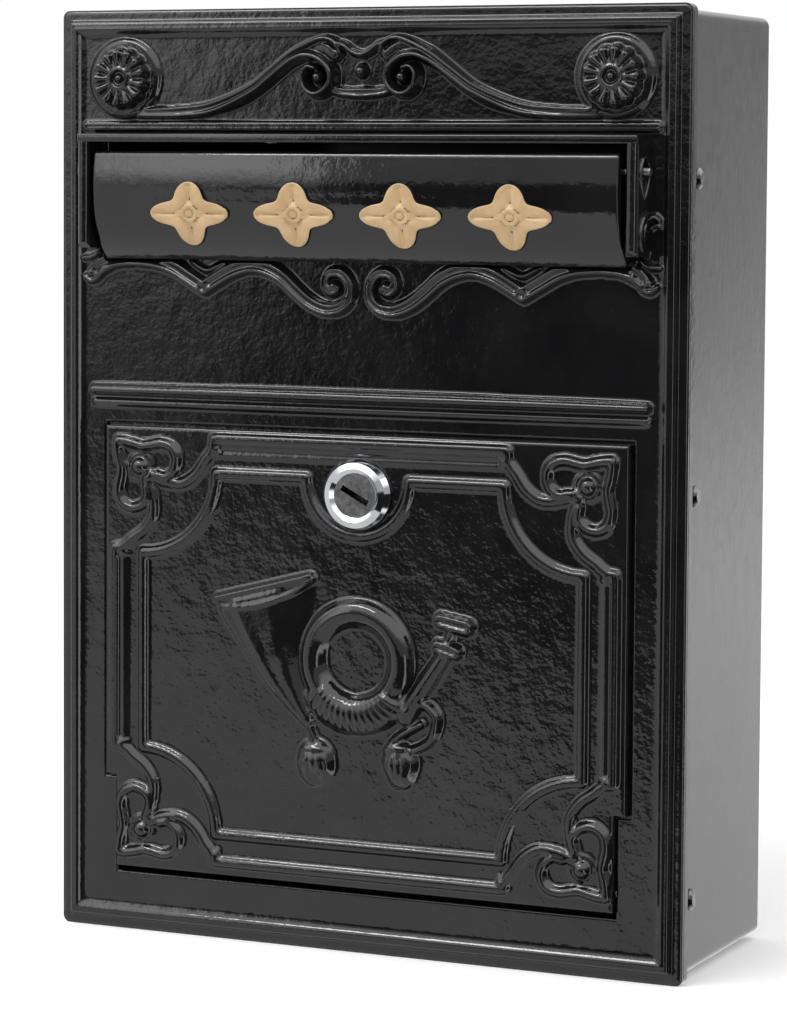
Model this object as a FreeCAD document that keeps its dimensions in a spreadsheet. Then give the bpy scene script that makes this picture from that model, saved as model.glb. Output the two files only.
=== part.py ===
import FreeCAD, Part
import math
import os

import Sketcher

# A wall mounted post box in cast metal, with a folded sheet casing behind it.
# X runs along the wall, Y into the wall and Z up. The origin is the centre of the wall holes,
# on the back face. The front of the box faces -Y, and depths below are measured from the wall.

doc = FreeCAD.newDocument("post_box")
sheet = doc.addObject("Spreadsheet::Sheet", "Sizes")

driving_sizes = {
    # front frame
    "plate_width": 275.0,
    "plate_height": 380.0,
    "box_depth": 98.0,
    "rim_depth": 6.0,
    "corner_radius": 3.0,
    "flat_band": 4.2,
    "moulding_width": 5.2,
    "cove_width": 2.3,
    "moulding_height": 2.8,
    "moulding_draft": 23.0,
    "cove_draft": 45.0,
    "field_height": 1.3,
    "cast_wall": 4.0,
    "tongue_depth": 16.0,
    "tongue_wall": 3.0,
    "seat_gap": 0.3,
    # casing
    "lip": 2.0,
    "sheet_wall": 1.5,
    "fold_radius": 4.0,
    "wall_hole_across": 180.0,
    "wall_hole_up": 250.0,
    "wall_hole_diameter": 6.5,
    # casing screws
    "screw_diameter": 4.0,
    "screw_clearance": 4.5,
    "screw_head": 8.3,
    "screw_head_height": 2.2,
    "screw_grip": 5.5,
    "screw_setback": 7.0,
    "screw_from_top": 67.0,
    "screw_from_bottom": 32.0,
    # hood and letter slot
    "hood_drop": 50.5,
    "hood_bar": 3.5,
    "hood_reach": 15.3,
    "hood_gap": 2.5,
    "cheek_wall": 5.0,
    "cheek_chamfer": 2.5,
    "cheek_foot_rise": 4.3,
    "slot_rise": 6.3,
    "slot_side_gap": 1.0,
    # letter flap
    "flap_margin": 23.3,
    "flap_head_gap": 3.4,
    "flap_height": 43.9,
    "flap_bulge": 15.4,
    "flap_foot": 4.3,
    "flap_wall": 3.0,
    "flap_back_gap": 0.3,
    "flap_belly_drop": 18.6,
    "flap_upper_radius": 60.0,
    "flap_lower_radius": 34.0,
    "badge_height": 1.6,
    "badge_size": 26.0,
    "badge_pitch": 46.5,
    # flap rod
    "rod_diameter": 3.0,
    "rod_drop": 7.1,
    "rod_out": 6.7,
    "rod_play": 0.05,
    "clip_diameter": 7.0,
    "clip_wall": 0.8,
    # door
    "door_margin": 22.5,
    "door_drop": 170.0,
    "door_bottom": 27.0,
    "door_wall": 4.5,
    "door_proud": 2.9,
    "door_gap": 1.2,
    "sill_gap": 2.5,
    "door_edge_radius": 1.2,
    "notch_width": 5.0,
    "notch_height": 37.0,
    "stop_width": 6.0,
    "stop_wall": 4.0,
    "stop_gap": 0.3,
    # door hinge
    "hinge_rise": 7.0,
    "hinge_inset": 6.2,
    "hinge_pin_diameter": 4.0,
    "hinge_pin_reach": 10.0,
    "hinge_boss": 12.0,
    "hinge_lug": 4.0,
    "hinge_play": 0.05,
    "hinge_side_gap": 0.5,
    # cam lock
    "lock_drop": 24.0,
    "collar_diameter": 29.5,
    "collar_height": 4.7,
    "barrel_diameter": 19.5,
    "cam_gap": 0.5,
    "plug_diameter": 13.0,
    "plug_head": 18.0,
    "plug_play": 0.05,
    "key_slot_length": 13.0,
    "key_slot_width": 2.4,
    "key_tilt": 28.0,
    "nut_flats": 24.0,
    "nut_wall": 3.5,
    "cam_reach": 26.0,
    "cam_width": 13.0,
    "cam_wall": 2.0,
    "cam_square": 7.0,
    # relief
    "rosette_drop": 28.0,
    "rosette_inset": 30.3,
    "rosette_radius": 16.5,
    "rosette_height": 8.0,
    "ledge_rise": 6.5,
    "ledge_height": 12.0,
    "ledge_reach": 5.0,
    "ledge_margin": 15.5,
    "ridge_width": 4.0,
    "ridge_height": 2.2,
    "scroll_height": 5.5,
    "apron_height": 4.5,
    "outer_bead_inset": 5.7,
    "inner_bead_side": 18.0,
    "inner_bead_bottom": 16.7,
    "inner_bead_top": 19.9,
    "corner_sweep": 33.7,
    "lock_sweep": 23.5,
    "horn_ring_radius": 20.5,
    "horn_tube_radius": 5.0,
}
for row, (alias, value) in enumerate(driving_sizes.items(), start=1):
    sheet.set(f"A{row}", alias)
    sheet.set(f"B{row}", str(value))
    sheet.setAlias(f"B{row}", alias)
doc.recompute()


class Size:
    """A length from the sheet: its number now, and the expression that keeps a feature bound to it."""

    def __init__(self, text, value):
        self.text = text
        self.value = value

    def combine(self, other, sign, value):
        text = other.text if isinstance(other, Size) else repr(float(other))
        return Size(f"({self.text} {sign} {text})", value)

    def __add__(self, other):
        return self.combine(other, "+", self.value + number(other))

    def __sub__(self, other):
        return self.combine(other, "-", self.value - number(other))

    def __mul__(self, other):
        return self.combine(other, "*", self.value * number(other))

    def __truediv__(self, other):
        return self.combine(other, "/", self.value / number(other))

    def __neg__(self):
        return Size(f"(-1 * {self.text})", -self.value)


def number(length):
    return length.value if isinstance(length, Size) else float(length)


def cell(alias):
    return Size(f"Sizes.{alias}", float(sheet.get(alias)))


s = {alias: cell(alias) for alias in driving_sizes}
zero = s["plate_width"] * 0

# heights from the plate's bottom edge, turned into Z
plate_bottom = -(s["plate_height"] / 2)


def up(height):
    return plate_bottom + height


# depths, as distances from the wall towards the viewer
plate_front = s["box_depth"]
rim_back = plate_front - s["rim_depth"]
field_front = plate_front + s["field_height"]
web_back = field_front - s["cast_wall"]
door_front = field_front + s["door_proud"]
door_back = door_front - s["door_wall"]
hinge_depth = door_front - s["hinge_inset"]
stop_front = door_back - s["stop_gap"]
stop_back = stop_front - s["stop_wall"]
hood_front = field_front + s["hood_reach"]
rod_depth = field_front + s["rod_out"]
flap_back = field_front + s["flap_back_gap"]
flap_front = field_front + s["flap_bulge"]

# half widths, and heights that hang from the plate's top or stand on its bottom
half_width = s["plate_width"] / 2
half_height = s["plate_height"] / 2
casing_half = half_width - s["lip"]
casing_half_up = half_height - s["lip"]
tongue_half = casing_half - s["sheet_wall"] - s["seat_gap"]
tongue_half_up = casing_half_up - s["sheet_wall"] - s["seat_gap"]
door_half = half_width - s["door_margin"]
opening_half = door_half + s["door_gap"]
opening_bottom = up(s["door_bottom"]) - s["sill_gap"]
door_low = up(s["door_bottom"])
door_high = half_height - s["door_drop"]
opening_top = door_high + s["door_gap"]
notch_top = door_low + s["notch_height"]
hinge_up = door_low + s["hinge_rise"]
flap_half = half_width - s["flap_margin"]
cheek_inner = flap_half + s["hood_gap"]
cheek_outer = cheek_inner + s["cheek_wall"]
slot_half = flap_half + s["slot_side_gap"]
hood_high = half_height - s["hood_drop"]
hood_low = hood_high - s["hood_bar"]
flap_high = hood_low - s["flap_head_gap"]
flap_low = flap_high - s["flap_height"]
flap_belly = flap_high - s["flap_belly_drop"]
rod_up = flap_high - s["rod_drop"]
lock_up = door_high - s["lock_drop"]


def new_body(name):
    return doc.addObject("PartDesign::Body", name)


def origin_plane(body, role):
    return next(f for f in body.Origin.OriginFeatures if f.Role == role)


def new_sketch(body, name, role, offset):
    """A sketch parallel to an origin plane. Offset runs towards -Y on XZ_Plane and +X on YZ_Plane."""
    sketch = body.newObject("Sketcher::SketchObject", name)
    sketch.AttachmentSupport = [(origin_plane(body, role), "")]
    sketch.MapMode = "FlatFace"
    sketch.AttachmentOffset = FreeCAD.Placement(
        FreeCAD.Vector(0, 0, number(offset)), FreeCAD.Rotation()
    )
    if isinstance(offset, Size):
        sketch.setExpression("AttachmentOffset.Base.z", offset.text)
    return sketch


def turned_sketch(body, name, depth, height, turn):
    """A front sketch about a centre at this height, turned clockwise by an angle in degrees."""
    sketch = new_sketch(body, name, "XZ_Plane", depth)
    sketch.AttachmentOffset = FreeCAD.Placement(
        FreeCAD.Vector(0, number(height), number(depth)),
        FreeCAD.Rotation(FreeCAD.Vector(0, 0, -1), number(turn)),
    )
    sketch.setExpression("AttachmentOffset.Base.y", height.text)
    sketch.setExpression("AttachmentOffset.Base.z", depth.text)
    sketch.setExpression("AttachmentOffset.Rotation.Angle", turn.text)
    return sketch


def pin_point(sketch, geometry, position, x, y):
    for kind, length in (("DistanceX", x), ("DistanceY", y)):
        index = sketch.addConstraint(
            Sketcher.Constraint(kind, -1, 1, geometry, position, number(length))
        )
        if isinstance(length, Size):
            sketch.setExpression(f"Constraints[{index}]", length.text)


def arc_between(start, end, radius):
    """Counterclockwise arc from start to end: its circle and both angles."""
    middle = (start + end) * 0.5
    chord = end - start
    rise = math.sqrt(max(radius**2 - (chord.Length / 2) ** 2, 0))
    left = FreeCAD.Vector(-chord.y, chord.x, 0).normalize()
    centre = middle + left * rise
    first = math.atan2(start.y - centre.y, start.x - centre.x)
    last = math.atan2(end.y - centre.y, end.x - centre.x)
    if last < first:
        last += 2 * math.pi
    circle = Part.Circle(centre, FreeCAD.Vector(0, 0, 1), radius)
    return Part.ArcOfCircle(circle, first, last)


def draw_outline(sketch, points, arcs=None):
    """A closed outline through points. Arcs maps an edge's index to a radius, bulging outwards
    from a counterclockwise outline."""
    arcs = arcs or {}
    corners = [FreeCAD.Vector(number(x), number(y), 0) for x, y in points]
    first = sketch.GeometryCount
    count = len(points)
    for index, start in enumerate(corners):
        end = corners[(index + 1) % count]
        if index in arcs:
            sketch.addGeometry(arc_between(start, end, number(arcs[index])), False)
        else:
            sketch.addGeometry(Part.LineSegment(start, end), False)
    for index in range(count):
        follower = first + (index + 1) % count
        sketch.addConstraint(Sketcher.Constraint("Coincident", first + index, 2, follower, 1))
    for index, (x, y) in enumerate(points):
        pin_point(sketch, first + index, 1, x, y)
    for index, radius in arcs.items():
        at = sketch.addConstraint(
            Sketcher.Constraint("Radius", first + index, number(radius))
        )
        sketch.setExpression(f"Constraints[{at}]", radius.text)


def draw_box(sketch, left, right, low, high):
    draw_outline(sketch, [(left, low), (right, low), (right, high), (left, high)])


def draw_circle(sketch, x, y, diameter):
    index = sketch.addGeometry(
        Part.Circle(
            FreeCAD.Vector(number(x), number(y), 0),
            FreeCAD.Vector(0, 0, 1),
            number(diameter) / 2,
        ),
        False,
    )
    pin_point(sketch, index, 3, x, y)
    at = sketch.addConstraint(Sketcher.Constraint("Diameter", index, number(diameter)))
    if isinstance(diameter, Size):
        sketch.setExpression(f"Constraints[{at}]", diameter.text)


def set_length(feature, name, length):
    setattr(feature, name, number(length))
    if isinstance(length, Size):
        feature.setExpression(name, length.text)


def add_pad(body, sketch, length, back=False, both=False, taper=None):
    pad = body.newObject("PartDesign::Pad", f"{sketch.Name}_pad")
    pad.Profile = sketch
    set_length(pad, "Length", length)
    pad.Reversed = back
    if both:
        pad.SideType = "Symmetric"
    if taper is not None:
        set_length(pad, "TaperAngle", taper)
    return pad


def add_pocket(body, sketch, length=None, back=False, both=False, taper=None):
    """Cuts away from the sketch's normal, unless back is set. Without a length it cuts through."""
    pocket = body.newObject("PartDesign::Pocket", f"{sketch.Name}_cut")
    pocket.Profile = sketch
    if length is None:
        pocket.Type = "ThroughAll"
    else:
        set_length(pocket, "Length", length)
    pocket.Reversed = back
    if both:
        pocket.SideType = "Symmetric"
    if taper is not None:
        set_length(pocket, "TaperAngle", taper)
    return pocket


def edges_where(shape, test):
    return [f"Edge{i}" for i, edge in enumerate(shape.Edges, start=1) if test(edge)]


def round_edges(body, name, radius, test):
    doc.recompute()
    base = body.Tip
    fillet = body.newObject("PartDesign::Fillet", name)
    fillet.Base = (base, edges_where(base.Shape, test))
    set_length(fillet, "Radius", radius)
    return fillet


def runs_along(edge, axis):
    """Whether a straight edge runs along x, y or z."""
    if edge.Degenerated or not isinstance(edge.Curve, Part.Line):
        return False
    direction = edge.tangentAt(edge.FirstParameter)
    return abs(getattr(direction, axis)) > 0.999


def near(value, target, slack=0.05):
    return abs(value - number(target)) < slack


def midpoint(edge):
    return edge.BoundBox.Center


# relief: ridges and bosses with plain flat faces, which stand on a cast face and sink into it a little
sink = 0.6
ridge_crown = 0.4
bend_step = 24.0
long_step = 11.0


def arc_chain(start, heading, points):
    """Stations along arcs from start through points, each arc tangent to the one before.

    A station is x, z and heading. Angles are in degrees."""
    here = FreeCAD.Vector(start[0], 0, start[1])
    angle = math.radians(heading)
    stations = [(here.x, here.z, heading)]
    for x, z in points:
        there = FreeCAD.Vector(x, 0, z)
        side = FreeCAD.Vector(-math.sin(angle), 0, math.cos(angle))
        ahead = FreeCAD.Vector(math.cos(angle), 0, math.sin(angle))
        chord = there - here
        turn = 2 * math.atan2(chord.dot(side), chord.dot(ahead))
        if abs(math.degrees(turn)) > 1:
            centre = here + side * (chord.Length**2 / (2 * chord.dot(side)))
            spoke = here - centre
            by_turn = round(abs(math.degrees(turn)) / bend_step)
            by_length = round(chord.Length / long_step) if abs(turn) > 0.1 else 1
            steps = max(1, by_turn, by_length)
            for step in range(1, steps):
                part_turn = turn * step / steps
                swing = FreeCAD.Rotation(FreeCAD.Vector(0, -1, 0), math.degrees(part_turn))
                at = centre + swing.multVec(spoke)
                stations.append((at.x, at.z, math.degrees(angle + part_turn)))
        angle += turn
        stations.append((there.x, there.z, math.degrees(angle)))
        here = there
    return stations


def ridge_section(station, width, height, level):
    """The trapezoid section of a ridge, standing out of the face at this depth."""
    x, z, heading = station
    turn = math.radians(heading)
    across = FreeCAD.Vector(-math.sin(turn), 0, math.cos(turn))
    out = FreeCAD.Vector(0, -1, 0)
    base = FreeCAD.Vector(x, -level, z)
    half = width / 2
    crown = half * ridge_crown
    return [
        base - across * half - out * sink,
        base - across * half,
        base - across * crown + out * height,
        base + across * crown + out * height,
        base + across * half,
        base + across * half - out * sink,
    ]


def patch(corners):
    """A four-sided face, or two triangles where its corners are not in one plane."""
    first, second, third, fourth = corners
    normal = (second - first).cross(third - first).normalize()
    if abs((fourth - first).dot(normal)) < 1e-7:
        return [Part.Face(Part.makePolygon([*corners, first]))]
    return [
        Part.Face(Part.makePolygon([first, second, third, first])),
        Part.Face(Part.makePolygon([first, third, fourth, first])),
    ]


def solid_through(sections, closed=False):
    """A flat-faced solid through sections with the same number of corners each."""
    count = len(sections[0])
    faces = []
    if not closed:
        for end in (sections[0], sections[-1]):
            faces.append(Part.Face(Part.makePolygon([*end, end[0]])))
    followers = sections[1:] + sections[:1] if closed else sections[1:]
    for near_end, far_end in zip(sections, followers):
        for i in range(count):
            j = (i + 1) % count
            faces += patch([near_end[i], near_end[j], far_end[j], far_end[i]])
    shell = Part.makeShell(faces)
    shell.sewShape()
    solid = Part.makeSolid(shell)
    if solid.Volume < 0:
        solid.reverse()
    return solid


def ridge(chain, width, height, level):
    return [solid_through([ridge_section(station, width, height, level) for station in chain])]


def ring_ridge(x, z, radius, width, height, level):
    stations = arc_chain((x + radius, z), 90, [(x - radius, z), (x + radius, z)])[:-1]
    sections = [ridge_section(station, width, height, level) for station in stations]
    return solid_through(sections, closed=True)


def swelling(stations, level):
    """A ridge that changes size as it goes. A station is x, z, heading, width and height."""
    return solid_through(
        [ridge_section(station[:3], station[3], station[4], level) for station in stations]
    )


def boss(x, z, low_radius, high_radius, height, level, sides=24, lobes=0):
    """A low round boss, or a lobed one, narrower at its top."""
    sections = []
    for radius, depth in ((low_radius, level - sink), (high_radius, level + height)):
        corners = []
        for index in range(sides):
            angle = 2 * math.pi * index / sides
            reach = radius * (1 - 0.07 * (1 + math.cos(lobes * angle))) if lobes else radius
            corners.append(
                FreeCAD.Vector(x + reach * math.cos(angle), -depth, z + reach * math.sin(angle))
            )
        sections.append(corners)
    return solid_through(sections)


def mirrored(solids):
    """The solids with their copies on the other side of the middle plane."""
    copies = [solid.mirror(FreeCAD.Vector(), FreeCAD.Vector(1, 0, 0)) for solid in solids]
    return solids + copies


def relief_feature(name, solids):
    """All the relief of one casting, fused where its ridges cross."""
    feature = doc.addObject("Part::Feature", name)
    feature.Shape = solids[0].multiFuse(solids[1:])
    return feature


def join_relief(label, blank, relief):
    """The cast piece: its blank with its relief in one solid."""
    cast = doc.addObject("Part::MultiFuse", label)
    cast.Shapes = [blank, relief]
    cast.Refine = False
    cast.Label = label
    return cast


# front frame: one casting with a moulded border, a slot under a hood, and the door's opening
frame = new_body("front_frame_blank")
outline = new_sketch(frame, "plate_outline", "XZ_Plane", plate_front)
draw_box(outline, -half_width, half_width, -half_height, half_height)
add_pad(frame, outline, s["rim_depth"], back=True)
round_edges(frame, "plate_corners", s["corner_radius"], lambda edge: runs_along(edge, "y"))


def inset_sketch(name, inset, depth):
    sketch = new_sketch(frame, name, "XZ_Plane", depth)
    draw_box(
        sketch, inset - half_width, half_width - inset, inset - half_height, half_height - inset
    )
    return sketch


moulding = inset_sketch("border_moulding", s["flat_band"], plate_front)
add_pad(frame, moulding, s["moulding_height"], taper=-s["moulding_draft"])
moulding_front = plate_front + s["moulding_height"]
field_inset = s["flat_band"] + s["moulding_width"] + s["cove_width"]
field_step = s["moulding_height"] - s["field_height"]
field_cut = inset_sketch("field", field_inset - field_step, moulding_front)
add_pocket(frame, field_cut, field_step, taper=-s["cove_draft"])

back_inset = s["lip"] + s["sheet_wall"] + s["seat_gap"] + s["tongue_wall"]
hollow = inset_sketch("back_hollow", back_inset, rim_back)
add_pocket(frame, hollow, web_back - rim_back, back=True)

tongue = new_sketch(frame, "tongue", "XZ_Plane", rim_back)
tongue_in = tongue_half - s["tongue_wall"]
tongue_in_up = tongue_half_up - s["tongue_wall"]
draw_box(tongue, -tongue_half, tongue_half, -tongue_half_up, tongue_half_up)
draw_box(tongue, -tongue_in, tongue_in, -tongue_in_up, tongue_in_up)
add_pad(frame, tongue, s["tongue_depth"], back=True)
inner_fold = s["fold_radius"] - s["sheet_wall"]
round_edges(
    frame,
    "tongue_corners",
    inner_fold,
    lambda edge: runs_along(edge, "y")
    and near(abs(midpoint(edge).x), tongue_half)
    and near(abs(midpoint(edge).z), tongue_half_up),
)

# the hood: a bar over the flap, with a cheek at each end
bar = new_sketch(frame, "hood_bar_section", "YZ_Plane", zero)
draw_box(bar, -hood_front, -(field_front - s["cast_wall"] / 2), hood_low, hood_high)
add_pad(frame, bar, cheek_outer * 2, both=True)
cheek_foot = flap_low + s["cheek_foot_rise"]
cheek_root = -(field_front - s["cast_wall"] / 2)
for side in (-1, 1):
    cheek = new_sketch(
        frame, "cheek_right" if side > 0 else "cheek_left", "YZ_Plane", cheek_inner * side
    )
    draw_outline(
        cheek,
        [
            (cheek_root, cheek_foot),
            (cheek_root, hood_high),
            (-hood_front, hood_high),
            (-hood_front, cheek_foot + s["cheek_chamfer"]),
            (-(hood_front - s["cheek_chamfer"]), cheek_foot),
        ],
    )
    add_pad(frame, cheek, s["cheek_wall"], back=side < 0)

# the stop behind the door's opening, and the bosses that hold the hinge pins
backing = new_sketch(frame, "stop_backing", "XZ_Plane", web_back)
backing_margin = s["stop_wall"]
draw_box(
    backing,
    -(opening_half + backing_margin),
    opening_half + backing_margin,
    notch_top,
    opening_top + backing_margin,
)
add_pad(frame, backing, web_back - stop_back, back=True)
ear_inner = door_half - s["notch_width"] + s["hinge_side_gap"]
ear_outer = ear_inner + s["hinge_boss"]
boss_half = s["hinge_pin_diameter"] / 2 + s["tongue_wall"]
boss_back = hinge_depth - boss_half
for side in (-1, 1):
    ear = new_sketch(frame, "ear_right" if side > 0 else "ear_left", "XZ_Plane", web_back)
    near_edge = ear_inner if side > 0 else -ear_outer
    far_edge = ear_outer if side > 0 else -ear_inner
    draw_box(ear, near_edge, far_edge, hinge_up - boss_half, hinge_up + boss_half)
    add_pad(frame, ear, web_back - boss_back, back=True)

opening = new_sketch(frame, "door_opening", "XZ_Plane", hood_front)
draw_outline(
    opening,
    [
        (-ear_inner, opening_bottom),
        (ear_inner, opening_bottom),
        (ear_inner, notch_top),
        (opening_half, notch_top),
        (opening_half, opening_top),
        (-opening_half, opening_top),
        (-opening_half, notch_top),
        (-ear_inner, notch_top),
    ],
)
add_pocket(frame, opening, hood_front - stop_front)
stop_half = door_half + s["door_gap"] - s["stop_width"]
passage = new_sketch(frame, "door_passage", "XZ_Plane", hood_front)
draw_outline(
    passage,
    [
        (-ear_inner, opening_bottom),
        (ear_inner, opening_bottom),
        (ear_inner, notch_top),
        (stop_half, notch_top),
        (stop_half, opening_top - s["stop_width"]),
        (-stop_half, opening_top - s["stop_width"]),
        (-stop_half, notch_top),
        (-ear_inner, notch_top),
    ],
)
add_pocket(frame, passage)
slot = new_sketch(frame, "letter_slot", "XZ_Plane", field_front)
draw_box(slot, -slot_half, slot_half, flap_low + s["slot_rise"], hood_low)
add_pocket(frame, slot)

# bores: the flap rod through both cheeks, the hinge pins, and the casing screws' threads
rod_bore = new_sketch(frame, "rod_bore", "YZ_Plane", zero)
draw_circle(rod_bore, -rod_depth, rod_up, s["rod_diameter"])
add_pocket(frame, rod_bore, both=True)
pin_bore = new_sketch(frame, "hinge_pin_bore", "YZ_Plane", zero)
draw_circle(pin_bore, -hinge_depth, hinge_up, s["hinge_pin_diameter"])
add_pocket(frame, pin_bore, ear_outer * 2, both=True)
screw_depth = rim_back - s["screw_setback"]
screw_heights = (up(s["screw_from_bottom"]), zero, half_height - s["screw_from_top"])
thread_bores = new_sketch(frame, "screw_bores", "YZ_Plane", zero)
for height in screw_heights:
    draw_circle(thread_bores, -screw_depth, height, s["screw_diameter"])
add_pocket(frame, thread_bores, both=True)

# ledge that throws rain off above the door, with a higher roll at its top
ledge = new_sketch(frame, "rain_ledge", "YZ_Plane", zero)
ledge_low = door_high + s["ledge_rise"]
ledge_high = ledge_low + s["ledge_height"]
ledge_root = -(field_front - s["cast_wall"] / 2)
roll = s["ledge_reach"]
draw_outline(
    ledge,
    [
        (ledge_root, ledge_low),
        (ledge_root, ledge_high),
        (-field_front, ledge_high),
        (-(field_front + roll * 0.8), ledge_high - roll * 0.25),
        (-(field_front + roll), ledge_high - roll * 0.6),
        (-(field_front + roll * 0.8), ledge_high - roll),
        (-(field_front + roll * 0.5), ledge_high - roll * 1.2),
        (-(field_front + roll * 0.5), ledge_low + roll * 0.5),
        (-field_front, ledge_low),
    ],
)
add_pad(frame, ledge, (half_width - s["ledge_margin"]) * 2, both=True)
round_edges(
    frame,
    "hood_edges",
    s["hood_bar"] * 0.4,
    lambda edge: runs_along(edge, "x")
    and near(midpoint(edge).y, -hood_front)
    and near(midpoint(edge).z, hood_high),
)


def rosette(x, z):
    """A scalloped flower on a round boss, with a button on its bud."""
    radius = number(s["rosette_radius"])
    height = number(s["rosette_height"])
    level = number(field_front)
    return [
        boss(x, z, radius, radius * 0.94, height * 0.4, level),
        boss(x, z, radius * 0.84, radius * 0.8, height * 0.75, level, sides=48, lobes=12),
        boss(x, z, radius * 0.3, radius * 0.24, height * 0.88, level, sides=12),
        boss(x, z, radius * 0.15, radius * 0.08, height, level, sides=8),
    ]


panel_up = number(half_height - s["rosette_drop"])
rosette_x = number(half_width - s["rosette_inset"])
field_level = number(field_front)
ridge_width = number(s["ridge_width"])
scroll_reach = number(flap_half)


def scroll_points(points, base):
    """Points given as shares of the flap's half width and as heights above a base."""
    return [(share * scroll_reach, base + rise) for share, rise in points]


scroll_start, *scroll_rest = scroll_points(
    [(-0.873, -14), (-0.7, -13.4), (-0.566, -11.7), (-0.391, -3.8), (-0.251, 7.7), (-0.171, 12.3),
     (-0.101, 7), (-0.109, -3), (-0.175, -4.5), (-0.198, 1), (-0.158, 3.5)],
    panel_up,
)
scroll = arc_chain(scroll_start, 0, scroll_rest)
panel_relief = ridge(scroll, ridge_width, number(s["scroll_height"]), field_level)
link = arc_chain((-11, panel_up - 1), -20, [(0, panel_up - 2.5)])
panel_relief += ridge(link, ridge_width, number(s["scroll_height"]) * 0.7, field_level)
panel_boss = boss(0, panel_up + 2, 4.5, 2.5, number(s["scroll_height"]), field_level, sides=12)
bead_level = number(hood_high) + 3
bead = arc_chain((-number(cheek_outer) - 2, bead_level), 0, [(number(cheek_outer) + 2, bead_level)])
apron_top = number(flap_low) - 4.7
apron_start, *apron_rest = scroll_points(
    [(-1.064, -4.5), (-1.029, -0.5), (-0.919, 0.6), (-0.806, 0), (-0.736, -2.6), (-0.674, -6.8),
     (-0.612, -11)],
    apron_top,
)
apron = arc_chain(apron_start, 80, apron_rest)
rise_rest = scroll_points(
    [(-0.499, -3.3), (-0.368, -2), (-0.302, -4.8), (-0.241, -10.6), (-0.184, -15), (-0.118, -17),
     (-0.048, -13), (-0.044, -4), (-0.105, -2), (-0.131, -7), (-0.092, -9)],
    apron_top,
)
apron_rise = arc_chain(apron_rest[-1], 35, rise_rest)
apron_relief = []
for chain in (apron, apron_rise):
    apron_relief += ridge(chain, ridge_width, number(s["apron_height"]), field_level)
frame_relief = relief_feature(
    "front_frame_relief",
    mirrored(panel_relief + apron_relief + rosette(-rosette_x, panel_up))
    + [panel_boss]
    + ridge(bead, ridge_width * 0.75, number(s["ridge_height"]) * 0.7, field_level),
)
front_frame = join_relief("front_frame", frame, frame_relief)

# casing: one folded box, open at the front, with holes for the wall and for its six screws
casing = new_body("casing")
casing.Label = "casing"
casing_outline = new_sketch(casing, "casing_outline", "XZ_Plane", zero)
draw_box(casing_outline, -casing_half, casing_half, -casing_half_up, casing_half_up)
add_pad(casing, casing_outline, rim_back)
casing_hollow = new_sketch(casing, "casing_hollow", "XZ_Plane", rim_back)
hollow_half = casing_half - s["sheet_wall"]
hollow_half_up = casing_half_up - s["sheet_wall"]
draw_box(casing_hollow, -hollow_half, hollow_half, -hollow_half_up, hollow_half_up)
add_pocket(casing, casing_hollow, rim_back - s["sheet_wall"])
round_edges(
    casing,
    "casing_inner_folds",
    inner_fold,
    lambda edge: runs_along(edge, "y") and near(abs(midpoint(edge).x), hollow_half),
)
round_edges(
    casing,
    "casing_folds",
    s["fold_radius"],
    lambda edge: runs_along(edge, "y") and near(abs(midpoint(edge).x), casing_half),
)
doc.recompute()
folded = casing.Tip
back_edges = casing.newObject("PartDesign::Chamfer", "casing_back_edge")
back_edges.Base = (folded, edges_where(folded.Shape, lambda edge: edge.BoundBox.YMin > -0.01))
set_length(back_edges, "Size", s["sheet_wall"] * 0.6)
wall_holes = new_sketch(casing, "wall_holes", "XZ_Plane", zero)
for across in (-1, 1):
    for upward in (-1, 1):
        draw_circle(
            wall_holes,
            s["wall_hole_across"] / 2 * across,
            s["wall_hole_up"] / 2 * upward,
            s["wall_hole_diameter"],
        )
add_pocket(casing, wall_holes, s["sheet_wall"] * 2, back=True)
casing_bores = new_sketch(casing, "casing_screw_holes", "YZ_Plane", zero)
for height in screw_heights:
    draw_circle(casing_bores, -screw_depth, height, s["screw_clearance"])
add_pocket(casing, casing_bores, both=True)


# casing screws: six pan heads, three down each side
def screw(side, height, name):
    body = new_body(name)
    profile = new_sketch(body, f"{name}_profile", "XY_Plane", height)
    seat = casing_half
    shank = s["screw_diameter"] / 2 - 0.03
    head = s["screw_head"] / 2
    draw_outline(
        profile,
        [
            ((seat - s["screw_grip"]) * side, -screw_depth),
            ((seat - s["screw_grip"]) * side, -screw_depth + shank),
            (seat * side, -screw_depth + shank),
            (seat * side, -screw_depth + head),
            ((seat + s["screw_head_height"] * 0.45) * side, -screw_depth + head),
            ((seat + s["screw_head_height"]) * side, -screw_depth + head * 0.6),
            ((seat + s["screw_head_height"]) * side, -screw_depth),
        ],
    )
    turn = body.newObject("PartDesign::Revolution", f"{name}_turn")
    turn.Profile = profile
    turn.ReferenceAxis = (profile, ["Edge7"])
    return body


screw_bodies = []
for index, height in enumerate(screw_heights):
    for side in (-1, 1):
        screw_bodies.append(screw(side, height, f"screw_{index}_{'right' if side > 0 else 'left'}"))
casing_screws = doc.addObject("Part::Compound", "casing_screws")
casing_screws.Links = screw_bodies
casing_screws.Label = "casing_screws"

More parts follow.
